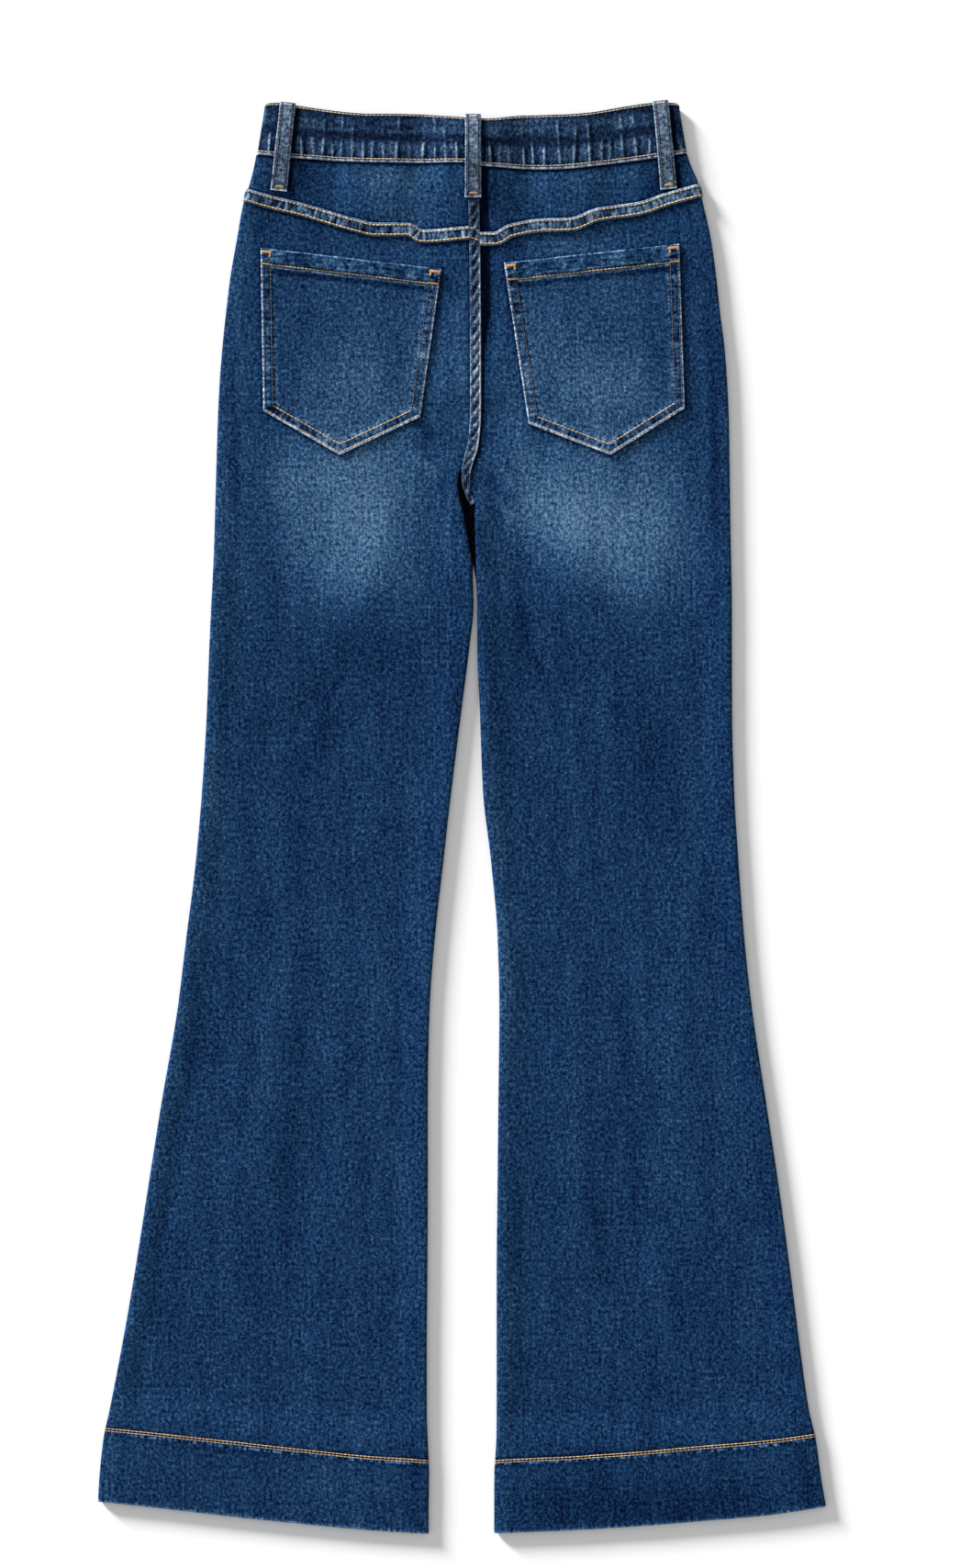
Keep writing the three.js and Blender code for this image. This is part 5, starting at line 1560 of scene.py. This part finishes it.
def pocket_stitches(side, cloth):
    """Double rows at the sides and foot, one at the mouth hem, bartacks at the corners."""
    cast = top_cast(cloth)
    hem = BACK_POCKETS[side]["mouth"]
    outline = [np.array(BACK_POCKETS[side][key]) for key in POCKET_CORNERS]
    top_left, top_right = outline[0], outline[-1]
    mouth = (top_right - top_left) / np.linalg.norm(top_right - top_left)
    down = np.array([mouth[1], -mouth[0]])
    for distance in POCKET_ROWS:
        moved = inset_line(outline, distance)
        for end, beside in ((0, 1), (-1, -2)):
            way = moved[beside] - moved[end]
            moved[end] += way / np.linalg.norm(way) * (hem + 1.5)
        at_foot = gold if distance > 5 else tan
        for stitches, ends in zip((dull, at_foot, at_foot, dull), pairs(moved)):
            laid_row(stitches, cast, dense(ends), THREAD_RADII["pocket"])
    first, last = top_left + down * hem + mouth * 1.5, top_right + down * hem - mouth * 1.5
    laid_row(gold, cast, dense([first, last]), THREAD_RADII["pocket_mouth"])
    for corner, inward in ((top_left, mouth), (top_right, -mouth)):
        # The side rows are joined by a bar under the top edge and end in thicker stitches.
        bars = [((2.8, 0.9), (2.8, 9.3), 2.3), ((hem - 0.3, 0.9), (hem - 0.3, 8.6), 1.7)]
        bars += [((3.6, place), (end, place), 1.7) for place, end in ((POCKET_ROWS[0], 5.0), (8.3, 6.6))]
        for *ends, length in bars:
            line = dense([corner + down * depth + inward * place for depth, place in ends], 0.5)
            laid_row(bartacks, cast, line, THREAD_RADII["pocket_bar"], length=length, **BAR)


def fly_stitches():
    """A double row that curves in to the centre seam, on the left front, and one along the edge."""
    path, _ = spline(FLY_PATH, 0.8)
    cast = top_cast(FRONT["left"])
    for shift in (0, FLY_ROW_SHIFT):
        laid_row(gold, cast, path + np.array([shift, shift * 0.5]), THREAD_RADII["fly"], direction=1)
    (edge_x, from_y), (_, to_y) = FLY_EDGE_ROW
    laid_row(gold, cast, dense([(edge_x, from_y), (edge_x, to_y - 3)]), THREAD_RADII["fly"], direction=1)


band_stitches()
seam_stitches()
hem_stitches()
loop_stitches()
for side, cloth in POCKETS.items():
    pocket_stitches(side, cloth)
fly_stitches()
for stitches in (gold, tan, dull, bartacks):
    stitches.build()


# Button

def button():
    rim, dome, steps = 0.5, 0.35, 64
    radius, height = BUTTON_RADIUS, BUTTON_HEIGHT
    profile = [(0.001, dome), (2.2, dome - 0.05), (3.4, dome + 0.2), (4.0, dome + 0.2), (5.6, 0.25),
               (6.6, 0.0), (radius - rim, 0.05), (radius - 0.1, 0.35), (radius, 0.8),
               (radius - 0.15, height - 0.3), (radius - rim, height), (0.001, height)]
    turns = [k * math.tau / steps for k in range(steps)]
    points = [(CENTRE_FRONT_X + r * math.cos(turn), BUTTON_Y + r * math.sin(turn), z)
              for r, z in profile for turn in turns]
    starts = [ring * steps for ring in range(len(profile))]
    around = [(k, (k + 1) % steps) for k in range(steps)]
    faces = [(a + after, a + k, b + k, b + after) for a, b in pairs(starts) for k, after in around]
    faces += [tuple(range(steps)), tuple(reversed(range(starts[-1], starts[-1] + steps)))]
    obj = new_object("metal_button", points, faces, {}, [BUTTON_METAL])
    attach(obj, "root")
    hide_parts("button")


button()


# Floor, light and camera

FLOOR_ALBEDO = 0.95
LIGHT_ON_FLOOR = 1.16       # over 1 / albedo, so that the open floor is white
SUN_SHARE = 0.56
SUN_ELEVATION = 11
SUN_AZIMUTH = 135
SUN_ANGLE = 14
FLOOR_REACH = 4.0           # metres


def floor():
    mesh = bpy.data.meshes.new("floor")
    corners = [(x * FLOOR_REACH, y * FLOOR_REACH, 0) for x, y in ((-1, -1), (1, -1), (1, 1), (-1, 1))]
    mesh.from_pydata(corners, [], [(0, 1, 2, 3)])
    material = bpy.data.materials.new("floor")
    material.use_nodes = True
    shader = material.node_tree.nodes["Principled BSDF"]
    shader.inputs["Base Color"].default_value = (FLOOR_ALBEDO, FLOOR_ALBEDO, FLOOR_ALBEDO, 1)
    shader.inputs["Roughness"].default_value = 0.9
    shader.inputs["Specular IOR Level"].default_value = 0.1
    mesh.materials.append(material)
    obj = bpy.data.objects.new("floor", mesh)
    bpy.context.scene.collection.objects.link(obj)


def lights():
    scene = bpy.context.scene
    world = bpy.data.worlds.new("studio")
    world.use_nodes = True
    background = world.node_tree.nodes["Background"]
    background.inputs["Color"].default_value = (1, 1, 1, 1)
    background.inputs["Strength"].default_value = LIGHT_ON_FLOOR * (1 - SUN_SHARE)
    scene.world = world
    elevation, azimuth = math.radians(SUN_ELEVATION), math.radians(SUN_AZIMUTH)
    sun = bpy.data.lights.new("key", "SUN")
    sun.energy = LIGHT_ON_FLOOR * SUN_SHARE * math.pi / math.sin(elevation)
    sun.angle = math.radians(SUN_ANGLE)
    obj = bpy.data.objects.new("key", sun)
    towards = Vector((math.cos(azimuth) * math.cos(elevation), math.sin(azimuth) * math.cos(elevation),
                      math.sin(elevation)))
    obj.rotation_euler = towards.to_track_quat("Z", "Y").to_euler()
    scene.collection.objects.link(obj)
    scene.view_settings.view_transform = "Standard"


FRAME_HEIGHT = 1.2725       # metres that the picture's height shows
FRAME_CENTRE = (14.5, 27.6)


def camera():
    data = bpy.data.cameras.new("camera")
    data.lens = 85
    data.sensor_fit = "VERTICAL"
    data.sensor_height = 36
    distance = FRAME_HEIGHT / 2 / (data.sensor_height / 2 / data.lens)
    obj = bpy.data.objects.new("camera", data)
    obj.location = (FRAME_CENTRE[0] * MM, FRAME_CENTRE[1] * MM, distance + 4 * MM)
    bpy.context.scene.collection.objects.link(obj)
    bpy.context.scene.camera = obj


floor()
lights()
camera()
